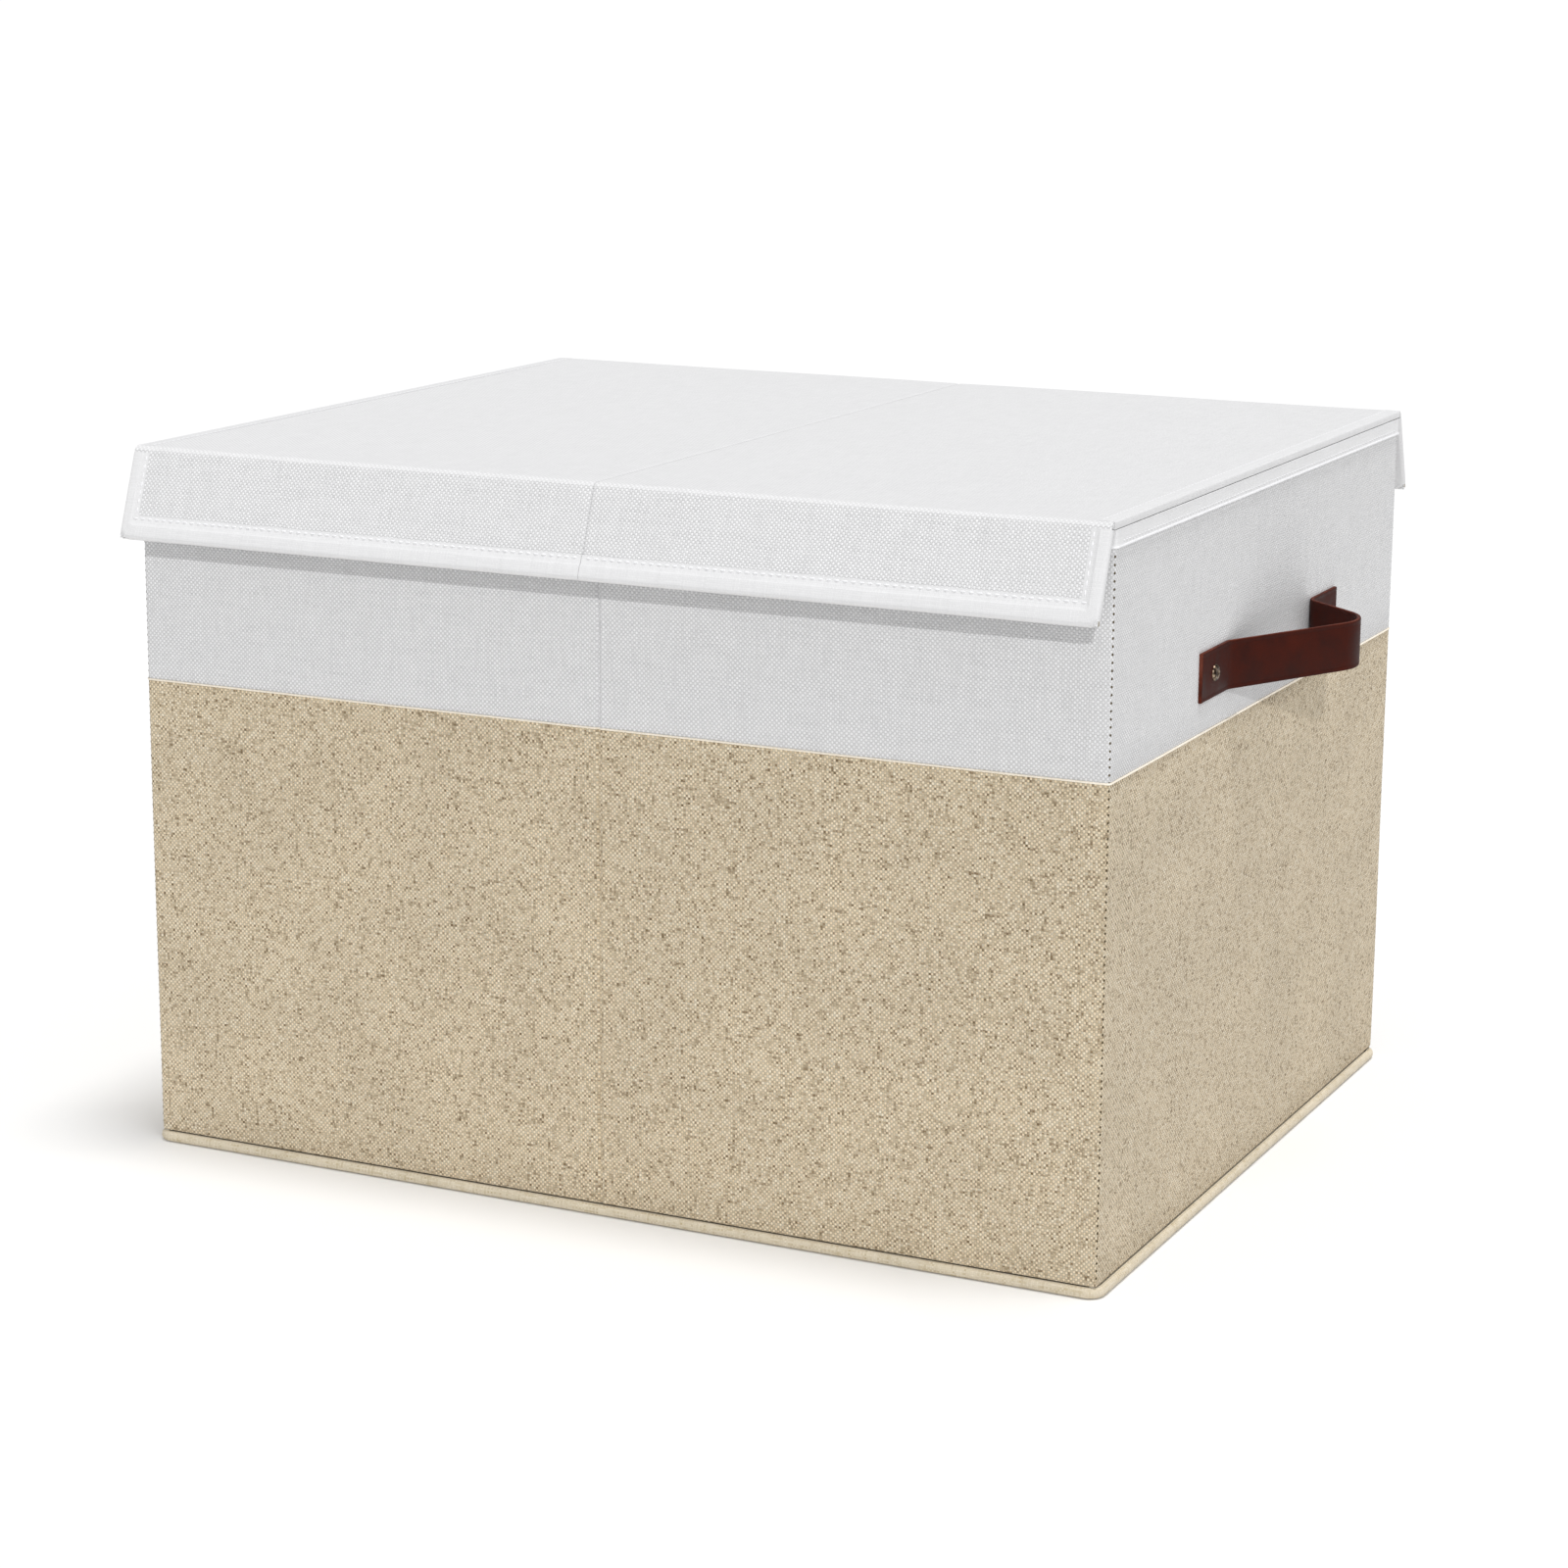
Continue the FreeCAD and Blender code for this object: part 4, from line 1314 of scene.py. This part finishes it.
# ---------------------------------------------------------------- base
@dataclass
class Base:
    """Felt on cloth. Its sides turn with the half walls, and its middle gathers towards the left end."""

    gather_keep: float = 0.588
    side_slope_deg: float = 37.5
    under: float = 0.15 * MM

    def build(self) -> None:
        """Both layers: four side pieces that ride on the half walls, and the gathering middle."""
        low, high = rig.box("base_felt")
        cloth_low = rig.box("base_cloth")[0].z
        level = low.z
        reach = high.x * math.tan(math.radians(self.side_slope_deg))
        inner = high.y - reach
        middle = [(low.x, low.y), (0.0, -inner), (high.x, low.y),
                  (high.x, high.y), (0.0, inner), (low.x, high.y)]
        regions = [("middle", "left_end", middle, self.under)]
        for face, end_y, apex in (("front", low.y, -inner), ("rear", high.y, inner)):
            for side, end_x in (("left", low.x), ("right", high.x)):
                corners = [(end_x, end_y), (0.0, end_y), (0.0, apex)]
                regions.append((f"{face}_{side}", f"{face}_{side}", corners, 0.0))
        for name, body, corners, sunk in regions:
            for layer, finish, bottom, top in (
                ("cloth", BASE_CLOTH, cloth_low + sunk, level), ("felt", NEEDLED_FELT, level, high.z - sunk),
            ):
                piece = self.slab(f"base_{name}_{layer}", corners, bottom, top, finish)
                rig.ride(piece, body)
                if name == "middle":
                    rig.squash(piece, "wall_fold", axis=(1, 0, 0), anchor=(low.x, 0, 0), keep=self.gather_keep)
                    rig.replaces(piece, f"base_{layer}")
                pairs = zip(corners, corners[1:] + corners[:1])
                area = abs(sum(a[0] * b[1] - b[0] * a[1] for a, b in pairs)) / 2
                size = [max(c[i] for c in corners) - min(c[i] for c in corners) for i in (0, 1)]
                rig.sheet(piece, flat=tuple(size), held="laid", area=area)
            log.info("base %s on %s", name, body)

    @staticmethod
    def slab(name: str, corners: Sequence[tuple[float, float]], low: float, top: float,
             finish: Finish) -> bpy.types.Object:
        """Flat layer of the base.

        Args:
            name: The piece's name.
            corners: Its outline in plan.
            low: Height of its lower face.
            top: Height of its upper face.
            finish: What it is made of.

        Returns:
            The new object.
        """
        shape = bmesh.new()
        layer = shape.loops.layers.uv.new(UV_NAME)
        ring = [shape.verts.new((x, y, low)) for x, y in corners]
        floor = shape.faces.new(ring)
        raised = bmesh.ops.extrude_face_region(shape, geom=[floor])["geom"]
        tops = [part for part in raised if isinstance(part, bmesh.types.BMVert)]
        bmesh.ops.translate(shape, verts=tops, vec=(0, 0, top - low))
        for face in shape.faces:
            for loop in face.loops:
                loop[layer].uv = (loop.vert.co.x, loop.vert.co.y + loop.vert.co.z)
        return finished_mesh(name, shape, (finish,))


# ---------------------------------------------------------------- lid and flaps
@dataclass
class Lid:
    """The lid's two halves, each one cloth with its flaps, over cards, bound with tape at the edges."""

    cloth: float = 0.42 * MM
    tape_thick: float = 0.35 * MM
    tape_wide: float = 7.0 * MM
    flap_tape_wide: float = 8.0 * MM
    flap_tape_low: float = 10.0 * MM
    flap_long: float = 37.0 * MM
    flap_corner: float = 4.0 * MM
    crease_gap: float = 0.1 * MM
    crease_dip: float = 0.3 * MM
    under_crease: float = 4.0 * MM
    stitch_pitch: float = 3.4 * MM
    stitch_long: float = 2.6 * MM
    stitch_inset: float = 1.2 * MM
    end_thread: tuple[float, float] = (0.5 * MM, 0.2 * MM)
    flap_thread: tuple[float, float] = (0.75 * MM, 0.35 * MM)
    hem_gap: float = 0.05 * MM
    swell: float = 0.25 * MM
    roll: float = 0.5 * MM
    hinge_y: float = field(init=False)
    hinge_z: float = field(init=False)
    end_x: float = field(init=False)
    slope: float = field(init=False)
    sleeve_top: float = field(init=False)
    tape_top: float = field(init=False)

    def __post_init__(self) -> None:
        """Read the lid's sizes from the frame."""
        hinge = JOINT_AT["rear_flap_left_hinge"]
        self.hinge_y, self.hinge_z = hinge["pos_m"][1], hinge["pos_m"][2]
        self.slope = math.radians(max(abs(limit) for limit in hinge["range_deg"]))
        self.end_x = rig.box("lid_right_end_tape")[1].x
        self.sleeve_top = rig.box("lid_left_sleeve")[1].z
        self.tape_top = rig.box("lid_left_end_tape")[1].z

    @property
    def fold_round(self) -> float:
        """Radius of the cloth over the hinge line."""
        return self.sleeve_top - self.hinge_z

    def cloth_at(self, run: float) -> tuple[Vector, Vector]:
        """The outer cloth's section over the lid, the fold and the flap.

        Args:
            run: Distance from the lid's middle line, along the cloth.

        Returns:
            The place (y, z) and the outward normal there.
        """
        radius = self.fold_round
        if run <= self.hinge_y:
            return Vector((run, self.sleeve_top)), Vector((0, 1))
        arc = radius * self.slope
        turn = min(1.0, (run - self.hinge_y) / arc) * self.slope
        normal = Vector((math.sin(turn), math.cos(turn)))
        spot = Vector((self.hinge_y, self.hinge_z)) + normal * radius
        beyond = run - self.hinge_y - arc
        if beyond > 0:
            spot += Vector((math.cos(self.slope), -math.sin(self.slope))) * beyond
        return spot, normal

    def fullness(self, x: float, run: float) -> float:
        """Fullness of the pressed cloth over its card, which sinks into the crease.

        Args:
            x: Distance from the crease, with its sign.
            run: Distance from the lid's middle line, along the cloth.

        Returns:
            How far the cloth stands off the card there.
        """
        from_crease = abs(x) - self.crease_gap
        sink = self.crease_dip * math.exp(-(from_crease / (0.9 * MM)) ** 2)
        wave = math.sin(41 * x + 23 * run) + math.sin(27 * x - 37 * run + 1.3)
        return self.swell * (0.5 + wave / 4) * ease(from_crease / (30 * MM)) - sink

    def over_lid(self, face: int) -> Place:
        """The outer cloth's surface.

        Args:
            face: -1 towards the front, 1 towards the rear.

        Returns:
            A function from (x, run, height over the cloth) to the place in the frame.
        """
        def place(x: float, run: float, high: float) -> Vector:
            spot, normal = self.cloth_at(run)
            spot = spot + normal * (high + self.fullness(x, run))
            return Vector((x, face * spot.x, spot.y))
        return place

    def on_flap(self, face: int) -> Place:
        """A flap's own slope.

        Args:
            face: -1 towards the front, 1 towards the rear.

        Returns:
            A function from (x, distance down the slope, height over the inner face) to the place.
        """
        def place(x: float, down: float, high: float) -> Vector:
            y = self.hinge_y + down * math.cos(self.slope) + high * math.sin(self.slope)
            z = self.hinge_z - down * math.sin(self.slope) + high * math.cos(self.slope)
            return Vector((x, face * y, z))
        return place

    def stations(self, side: int, start: float, stop: float, step: float = 10 * MM) -> list[Spot]:
        """Stations across the lid, dense beside the crease.

        Args:
            side: -1 for the left half, 1 for the right half.
            start: Distance of the first from the crease.
            stop: Distance of the last from the crease.
            step: About how far the others are apart.

        Returns:
            The stations.
        """
        near = [start + share * 3 * MM for share in (0, 0.12, 0.25, 0.4, 0.6, 0.8)]
        places = near + even(start + 3 * MM, stop, step)
        return [Spot(side * x, 0.0, 0.0, 1.0, side * x) for x in places]

    def build_half(self, side_name: str, side: int) -> None:
        """One half of the lid with its two flaps.

        Args:
            side_name: left or right.
            side: -1 for the left half, 1 for the right half.
        """
        body = f"lid_{side_name}"
        inner_end = self.end_x - self.tape_thick
        spots = self.stations(side, self.crease_gap, inner_end)
        arc = self.fold_round * self.slope
        flap_end = self.flap_long - self.tape_thick
        last_run = self.hinge_y + arc + flap_end
        for face_name, face in (("front", -1), ("rear", 1)):
            flap = f"{face_name}_flap_{side_name}"
            runs = even(0.0, self.hinge_y - 3 * MM, 14 * MM)
            runs += even(self.hinge_y - 1.5 * MM, self.hinge_y, 0.8 * MM)
            runs += even(self.hinge_y, self.hinge_y + arc, 0.5 * MM)[1:]
            runs += even(self.hinge_y + arc, last_run, 6 * MM)[1:]
            outer = [(run, 0.0) for run in runs]
            inner = [(run, -self.cloth) for run in reversed(runs)]
            section = [Edge(run, high, run) for run, high in outer + inner]
            # The flap's hanging faces take the walls' canvas, darker than the lit copy on the lid's top: the same
            # cloth, shaded by the way it faces.
            shaded_copy_faces = [i for i, edge in enumerate(section) if edge.out > self.hinge_y + 0.8 * arc]
            cover = sweep(f"{flap}_cover", spots, section, (LIT_LID_CANVAS, WHITE_CANVAS), self.over_lid(face),
                          edge_finish=shaded_copy_faces)
            first, first_out = self.cloth_at(self.hinge_y)
            last, last_out = self.cloth_at(self.hinge_y + arc)
            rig.blend(cover, body, flap, (0, face * first.x, first.y), (0, face * last.x, last.y))
            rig.replaces(cover, f"{flap}_sleeve", f"{body}_sleeve")
            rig.sheet(cover, flat=(inner_end - self.crease_gap, last_run), held="folded",
                     rests_on=[f"{body}_card", f"{flap}_card"])
            back = [(0.8 * MM, 0.35 * MM), (flap_end, 0.35 * MM),
                    (flap_end, 0.77 * MM), (0.8 * MM, 0.77 * MM)]
            lining = sweep(f"{flap}_back", spots, outline(back), (WHITE_CANVAS,), self.on_flap(face))
            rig.ride(lining, flap)
            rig.sheet(lining, flat=(inner_end - self.crease_gap, flap_end - 0.8 * MM), held="stretched",
                     rests_on=[f"{flap}_card"])
            self.fill_fold(flap, body, side, face)
            self.bind_flap(flap, side, face)
            dress_node(f"{flap}_card", GREYBOARD)
            log.info("cover and flap %s", flap)
        deep = self.hinge_y - 0.9 * MM
        low = self.hinge_z + self.tape_thick
        under = [(-deep, low), (deep, low), (deep, low + self.cloth), (-deep, low + self.cloth)]
        places = [Spot(side * x, 0, 0, 1, side * x) for x in even(self.under_crease, inner_end, 20 * MM)]
        skin = sweep(f"{body}_underside", places, outline(under), (LINING_WEB,))
        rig.ride(skin, body)
        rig.sheet(skin, flat=(inner_end - self.under_crease, 2 * deep), held="stretched",
                 rests_on=[f"{body}_card"])
        dress_node(f"{body}_card", GREYBOARD)
        self.bind_end(body, side)

    def fill_fold(self, flap: str, body: str, side: int, face: int) -> None:
        """Turned-in cloth that lies under the cover where it folds over the hinge line.

        Args:
            flap: The flap's body.
            body: The lid half's body.
            side: -1 for the left half, 1 for the right half.
            face: -1 towards the front, 1 towards the rear.
        """
        arm = self.fold_round - self.cloth - self.hem_gap
        wedge = [(0.0, 0.0)]
        for turn in even(0.0, self.slope, 0.3):
            wedge.append((arm * math.sin(turn), arm * math.cos(turn)))
        hem = [Edge(self.hinge_y + out, self.hinge_z + high, out) for out, high in wedge]
        across = [Spot(side * x, 0.0, 0.0, face, side * x) for x in (0.6 * MM, self.end_x - 0.1 * MM)]
        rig.ride(sweep(f"{flap}_hem_under_fold", across, hem, (WHITE_CANVAS,)), body)

    def bind_flap(self, flap: str, side: int, face: int) -> None:
        """Tape folded over a flap's lower edge and outer end, mitred at the corner and stitched.

        Args:
            flap: The flap's body.
            side: -1 for the left half, 1 for the right half.
            face: -1 towards the front, 1 towards the rear.
        """
        wide, radius, thick = self.flap_tape_wide, self.flap_corner, self.tape_thick
        full = self.tape_top - self.hinge_z
        low, end = self.flap_long, self.end_x
        rim = [(x, low) for x in even(self.crease_gap, end - wide, 8 * MM) + [end - 0.75 * wide]]
        turns = [math.pi / 2 * step / 7 for step in range(8)]
        rim += [(end - radius + radius * math.sin(a), low - radius + radius * math.cos(a)) for a in turns]
        rim += [(end, y) for y in [low - 0.75 * wide] + even(low - self.flap_tape_low, 0.6 * MM, 5 * MM)]
        spots = []
        run = 0.0
        for number, (x, y) in enumerate(rim):
            if number:
                run += math.hypot(x - rim[number - 1][0], y - rim[number - 1][1])
            # the tape's inner edge meets in a mitre at the corner
            inner_x, inner_y = min(x, end - wide), min(y, low - self.flap_tape_low)
            spots.append(Spot(side * x, y, side * (inner_x - x) / wide, (inner_y - y) / wide, run))
        section = outline(rounded((
            (wide, full, 0), (0.66 * wide, full, 0), (0.56 * wide, full + self.roll, 0.6 * MM),
            (0.0, full + self.roll, 1.5 * MM), (0.0, 0.0, 1.3 * MM), (wide, 0.0, 0), (wide, thick, 0),
            (thick, thick, 1.0 * MM), (thick, full - thick, 1.0 * MM), (wide, full - thick, 0),
        )))
        place = self.on_flap(face)
        tape = sweep(f"{flap}_tape_folded", spots, section, (BINDING_TAPE,), place)
        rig.replaces(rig.ride(tape, flap), f"{flap}_tape")
        line = wide - self.stitch_inset
        low_line = self.flap_tape_low - self.stitch_inset
        middles = []
        normal = place(0, 0, 1) - place(0, 0, 0)
        for x in even(self.crease_gap + 3 * MM, end - line, self.stitch_pitch):
            middles.append((place(side * x, low - low_line, full), Vector((1, 0, 0)), normal))
        down = place(0, 1, 0) - place(0, 0, 0)
        for y in even(low - low_line - self.stitch_pitch, 3 * MM, self.stitch_pitch):
            middles.append((place(side * (end - line), y, full), down, normal))
        thread = stitch_row(f"{flap}_tape_stitches", middles, self.stitch_long, *self.flap_thread,
                            WHITE_THREAD_AND_BEAD_HIGHLIGHT)
        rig.ride(thread, flap)

    def bind_end(self, body: str, side: int) -> None:
        """Tape folded over the lid's outer end, with its row of stitches.

        Args:
            body: The lid half's body.
            side: -1 for the left half, 1 for the right half.
        """
        wide, thick = self.tape_wide, self.tape_thick
        low, top = self.hinge_z, self.tape_top
        section = outline(rounded((
            (wide, top, 0), (2.2 * MM, top, 0), (1.6 * MM, top - 0.25 * MM, 0), (1.0 * MM, top, 0),
            (0.0, top, 0.8 * MM), (0.0, low, 0.25 * MM), (wide, low, 0), (wide, low + thick, 0),
            (thick, low + thick, 0.7 * MM), (thick, top - thick, 0.7 * MM), (wide, top - thick, 0),
        )))
        reach = self.hinge_y
        spots = [Spot(side * self.end_x, y, -side * 1.0, 0.0, y) for y in even(-reach, reach, 12 * MM)]
        tape = sweep(f"{body}_end_tape_folded", spots, section, (BINDING_TAPE,))
        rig.replaces(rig.ride(tape, body), f"{body}_end_tape")
        x = side * (self.end_x - wide + self.stitch_inset)
        up = Vector((0, 0, 1))
        middles = [(Vector((x, y, top)), Vector((0, 1, 0)), up)
                   for y in even(-reach + 4 * MM, reach - 4 * MM, self.stitch_pitch)]
        thread = stitch_row(f"{body}_end_stitches", middles, self.stitch_long, *self.end_thread, WHITE_THREAD_AND_BEAD_HIGHLIGHT)
        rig.ride(thread, body)
        log.info("end tape on %s", body)

    def build(self) -> None:
        """Both halves, and the cloth hinge under the crease."""
        for side_name, side in (("left", -1), ("right", 1)):
            self.build_half(side_name, side)
        deep = self.hinge_y - 0.9 * MM
        low = self.hinge_z + self.tape_thick
        strip = [(-deep, low), (deep, low), (deep, low + self.cloth), (-deep, low + self.cloth)]
        spots = [Spot(x, 0, 0, 1, x) for x in even(-self.under_crease, self.under_crease, 0.5 * MM)]
        hinge = sweep("lid_crease_underside", spots, outline(strip), (LINING_WEB,))
        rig.blend(hinge, "lid_left", "lid_right", (-2.5 * MM, 0, low), (2.5 * MM, 0, low))


# ---------------------------------------------------------------- handles
@dataclass
class Handle:
    """A leather strap bowed out of an end wall, held by two rivets."""

    side: str
    outward: int
    thick: float = 1.7 * MM
    solid_thick: float = 2.0 * MM
    tab: float = 30.0 * MM
    bend: float = 10.0 * MM
    front_rise_deg: float = 27.0
    rear_rise_deg: float = 50.0
    rivet_inset: float = 15.0 * MM
    edge_round: float = 0.55 * MM
    crease_inset: float = 1.7 * MM
    crease_deep: float = 0.14 * MM
    head_radius: float = 3.4 * MM
    head_tall: float = 1.3 * MM
    back_radius: float = 4.2 * MM

    def line(self, bow: float, span: float) -> list[tuple[float, float, float]]:
        """The strap's outer face in plan, from its first end.

        Args:
            bow: How far the strap's middle stands out.
            span: Length over its two ends.

        Returns:
            Stations as (along the wall, out from it, heading).
        """
        rise, fall = math.radians(self.front_rise_deg), math.radians(self.rear_rise_deg)
        slopes = bow * (1 / math.tan(rise) + 1 / math.tan(fall))
        both = (span - 2 * self.tab - slopes) / (math.tan(rise / 2) + math.tan(fall / 2))
        front_leg = (bow - both * (1 - math.cos(rise))) / math.sin(rise)
        rear_leg = (bow - both * (1 - math.cos(fall))) / math.sin(fall)
        steps = ((self.tab, 0.0), (self.bend, rise), (front_leg, 0.0), (both - self.bend, -(rise + fall)),
                 (rear_leg, 0.0), (self.bend, fall), (self.tab, 0.0))
        along, out, heading = 0.0, 0.0, 0.0
        stations = [(along, out, heading)]
        for size, turn in steps:
            count = max(3, round(abs(turn) * size / (1.2 * MM))) if turn else max(2, round(size / (3 * MM)))
            length = abs(turn) * size if turn else size
            for _ in range(count):
                middle = heading + turn / count / 2
                along += math.cos(middle) * length / count
                out += math.sin(middle) * length / count
                heading += turn / count
                stations.append((along, out, heading))
        return stations

    def build(self) -> None:
        """Strap and rivets."""
        body = f"{self.side}_end"
        low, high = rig.box(f"{self.side}_handle_strap")
        wall = low.x if self.outward > 0 else -high.x
        bow = high.x - low.x - self.solid_thick
        span = high.y - low.y
        first_y = low.y if self.outward > 0 else -high.y
        spots = []
        run = 0.0
        last = None
        for along, out, heading in self.line(bow, span):
            middle_x, middle_y = wall + self.solid_thick / 2 + out, first_y + along
            if last:
                run += math.hypot(along - last[0], out - last[1])
            last = (along, out)
            out_x, out_y = math.cos(heading), -math.sin(heading)
            spots.append(Spot(self.outward * middle_x, self.outward * middle_y,
                              self.outward * out_x, self.outward * out_y, run))
        front, back = self.solid_thick / 2, self.solid_thick / 2 - self.thick
        inset, deep, edge = self.crease_inset, self.crease_deep, self.edge_round
        shape = rounded((
            (back, low.z, edge), (front, low.z, edge), (front, low.z + inset - 0.35 * MM, 0),
            (front - deep, low.z + inset, 0), (front, low.z + inset + 0.35 * MM, 0),
            (front, high.z - inset - 0.35 * MM, 0), (front - deep, high.z - inset, 0),
            (front, high.z - inset + 0.35 * MM, 0), (front, high.z, edge), (back, high.z, edge),
        ), 4)
        section = outline(shape)
        # The strap's rounded edges take the lighter edge finish: real edge paint, drawn lighter as a painted highlight.
        rim = [i for i in range(len(section))
               if min(section[i].high, section[(i + 1) % len(section)].high) < low.z + 0.2 * edge
               or max(section[i].high, section[(i + 1) % len(section)].high) > high.z - 0.2 * edge]
        strap = sweep(f"{self.side}_strap_leather", spots, section, (STRAP_LEATHER, STRAP_EDGE_HIGHLIGHT),
                      edge_finish=rim, sharp=55.0)
        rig.replaces(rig.ride(strap, body), f"{self.side}_handle_strap")
        self.build_rivets(body, wall, first_y, span, (low.z + high.z) / 2)
        log.info("handle on %s", body)

    def build_rivets(self, body: str, wall: float, first_y: float, span: float, level: float) -> None:
        """Two domed rivets with a turned ring on the strap and a flat back inside the bin.

        Args:
            body: The end wall's body.
            wall: Distance of the wall's outer face from the middle of the bin.
            first_y: Where the strap starts, along the wall.
            span: Length over the strap's two ends.
            level: Height of the rivets.
        """
        inner = -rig.box(f"{body}_lining")[1].x if self.outward < 0 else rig.box(f"{body}_lining")[0].x
        face = wall + self.solid_thick
        head, tall, back = self.head_radius, self.head_tall, self.back_radius
        profile = (
            (0.0, face + 0.55 * tall), (0.28 * head, face + 0.6 * tall), (0.42 * head, face + 0.95 * tall),
            (0.62 * head, face + tall), (0.82 * head, face + 0.8 * tall), (0.97 * head, face + 0.35 * tall),
            (head, face - 0.1 * MM), (0.5 * head, face - 0.2 * MM), (0.5 * head, inner - 0.1 * MM),
            (back, inner + 0.05 * MM), (back, inner - 0.35 * MM), (0.85 * back, inner - 0.75 * MM),
            (0.4 * back, inner - 0.8 * MM), (0.0, inner - 0.8 * MM),
        )
        sides = 28
        shape = bmesh.new()
        for along in (self.rivet_inset, span - self.rivet_inset):
            rings = []
            for radius, x in profile:
                count = sides if radius > 0 else 1
                ring = []
                for i in range(count):
                    angle = 2 * math.pi * i / sides
                    y = self.outward * (first_y + along) + radius * math.cos(angle)
                    ring.append(shape.verts.new((self.outward * x, y, level + radius * math.sin(angle))))
                rings.append(ring)
            for near, far in zip(rings, rings[1:]):
                for i in range(sides):
                    k = (i + 1) % sides
                    corners = [near[i % len(near)], near[k % len(near)], far[k % len(far)], far[i % len(far)]]
                    shape.faces.new(list(dict.fromkeys(corners)))
        rivets = finished_mesh(f"{self.side}_rivets_turned", shape, (RIVET_BRONZE,), 50.0)
        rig.replaces(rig.ride(rivets, body), f"{self.side}_handle_rivets")


# ---------------------------------------------------------------- studio
@dataclass
class Studio:
    """Pale floor, soft light and the camera. Lamps are given as (turn, rise, spread) in degrees."""

    eye: tuple[float, float, float] = (0.69363, -1.45515, 0.51653)
    yaw_deg: float = 25.618
    pitch_deg: float = 13.018
    roll_deg: float = 0.384
    lens: float = 86.156
    floor_half: float = 60.0
    surround: float = 0.47
    top_light: float = 0.57
    key_light: float = 0.34
    top_aim: tuple[float, float, float] = (75.0, 82.0, 16.0)
    key_aim: tuple[float, float, float] = (29.0, 28.0, 1.8)

    def build_camera(self) -> None:
        """A level view a little above the lid, turned towards the front right corner."""
        yaw, pitch, roll = (math.radians(a) for a in (self.yaw_deg, self.pitch_deg, self.roll_deg))
        level = math.cos(pitch)
        forward = Vector((-math.sin(yaw) * level, math.cos(yaw) * level, -math.sin(pitch)))
        right = Vector((math.cos(yaw), math.sin(yaw), 0))
        up = right.cross(forward)
        turned_right = right * math.cos(roll) + up * math.sin(roll)
        turned_up = up * math.cos(roll) - right * math.sin(roll)
        lens = bpy.data.cameras.new("camera")
        lens.lens = self.lens
        lens.sensor_width = 36.0
        lens.clip_end = 300.0
        camera = bpy.data.objects.new("camera", lens)
        axes = Matrix((turned_right, turned_up, -forward)).transposed()
        camera.matrix_world = Matrix.Translation(self.eye) @ axes.to_4x4()
        bpy.context.scene.collection.objects.link(camera)
        bpy.context.scene.camera = camera

    def build_floor(self) -> None:
        """A wide white paper floor."""
        shape = bmesh.new()
        half = self.floor_half
        shape.faces.new([shape.verts.new((x, y, -0.05 * MM))
                         for x, y in ((-half, -half), (half, -half), (half, half), (-half, half))])
        mesh = bpy.data.meshes.new("floor")
        shape.to_mesh(mesh)
        shape.free()
        paper = bpy.data.materials.new("floor_paper_matt")
        paper.use_nodes = True
        shader = paper.node_tree.nodes["Principled BSDF"]
        shader.inputs["Base Color"].default_value = linear("f0f0f0")
        shader.inputs["Roughness"].default_value = 0.95
        shader.inputs["Specular IOR Level"].default_value = 0.1
        mesh.materials.append(paper)
        floor = bpy.data.objects.new("floor", mesh)
        bpy.context.scene.collection.objects.link(floor)
        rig.stage(floor)

    def build_light(self) -> None:
        """White surround, a broad light from overhead and a narrow one from the front right."""
        world = bpy.data.worlds.new("surround")
        world.use_nodes = True
        sky = world.node_tree.nodes["Background"]
        sky.inputs["Color"].default_value = linear("ffffff")
        sky.inputs["Strength"].default_value = self.surround
        bpy.context.scene.world = world
        for name, (turn, rise, spread), strength in (
            ("top_light", self.top_aim, self.top_light), ("key_light", self.key_aim, self.key_light),
        ):
            lamp = bpy.data.lights.new(name, "SUN")
            lamp.angle = math.radians(spread)
            lamp.energy = strength * math.pi
            holder = bpy.data.objects.new(name, lamp)
            aside, above = math.radians(turn), math.radians(rise)
            level = math.cos(above)
            source = Vector((math.sin(aside) * level, -math.cos(aside) * level, math.sin(above)))
            holder.rotation_euler = source.to_track_quat("Z", "Y").to_euler()
            bpy.context.scene.collection.objects.link(holder)
        bpy.context.scene.view_settings.view_transform = "Standard"

    def build(self) -> None:
        """Camera, floor and lights."""
        self.build_camera()
        self.build_floor()
        self.build_light()


def write_sizes() -> None:
    """Note the CAD model's box and the dressed model's box."""
    boxes = {"cad": [list(corner) for corner in CAD_BOX], "visual": [list(corner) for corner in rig.bounds()]}
    with open("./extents.json", "w") as file:
        json.dump(boxes, file)


def main() -> None:
    """Dress the bin, piece by piece."""
    logging.basicConfig(level=logging.INFO, format="%(name)s: %(message)s")
    Studio().build()
    Walls(Plan()).build()
    Base().build()
    Lid().build()
    for side, outward in (("left", -1), ("right", 1)):
        Handle(side, outward).build()
    write_sizes()


if __name__ == "__main__":
    main()
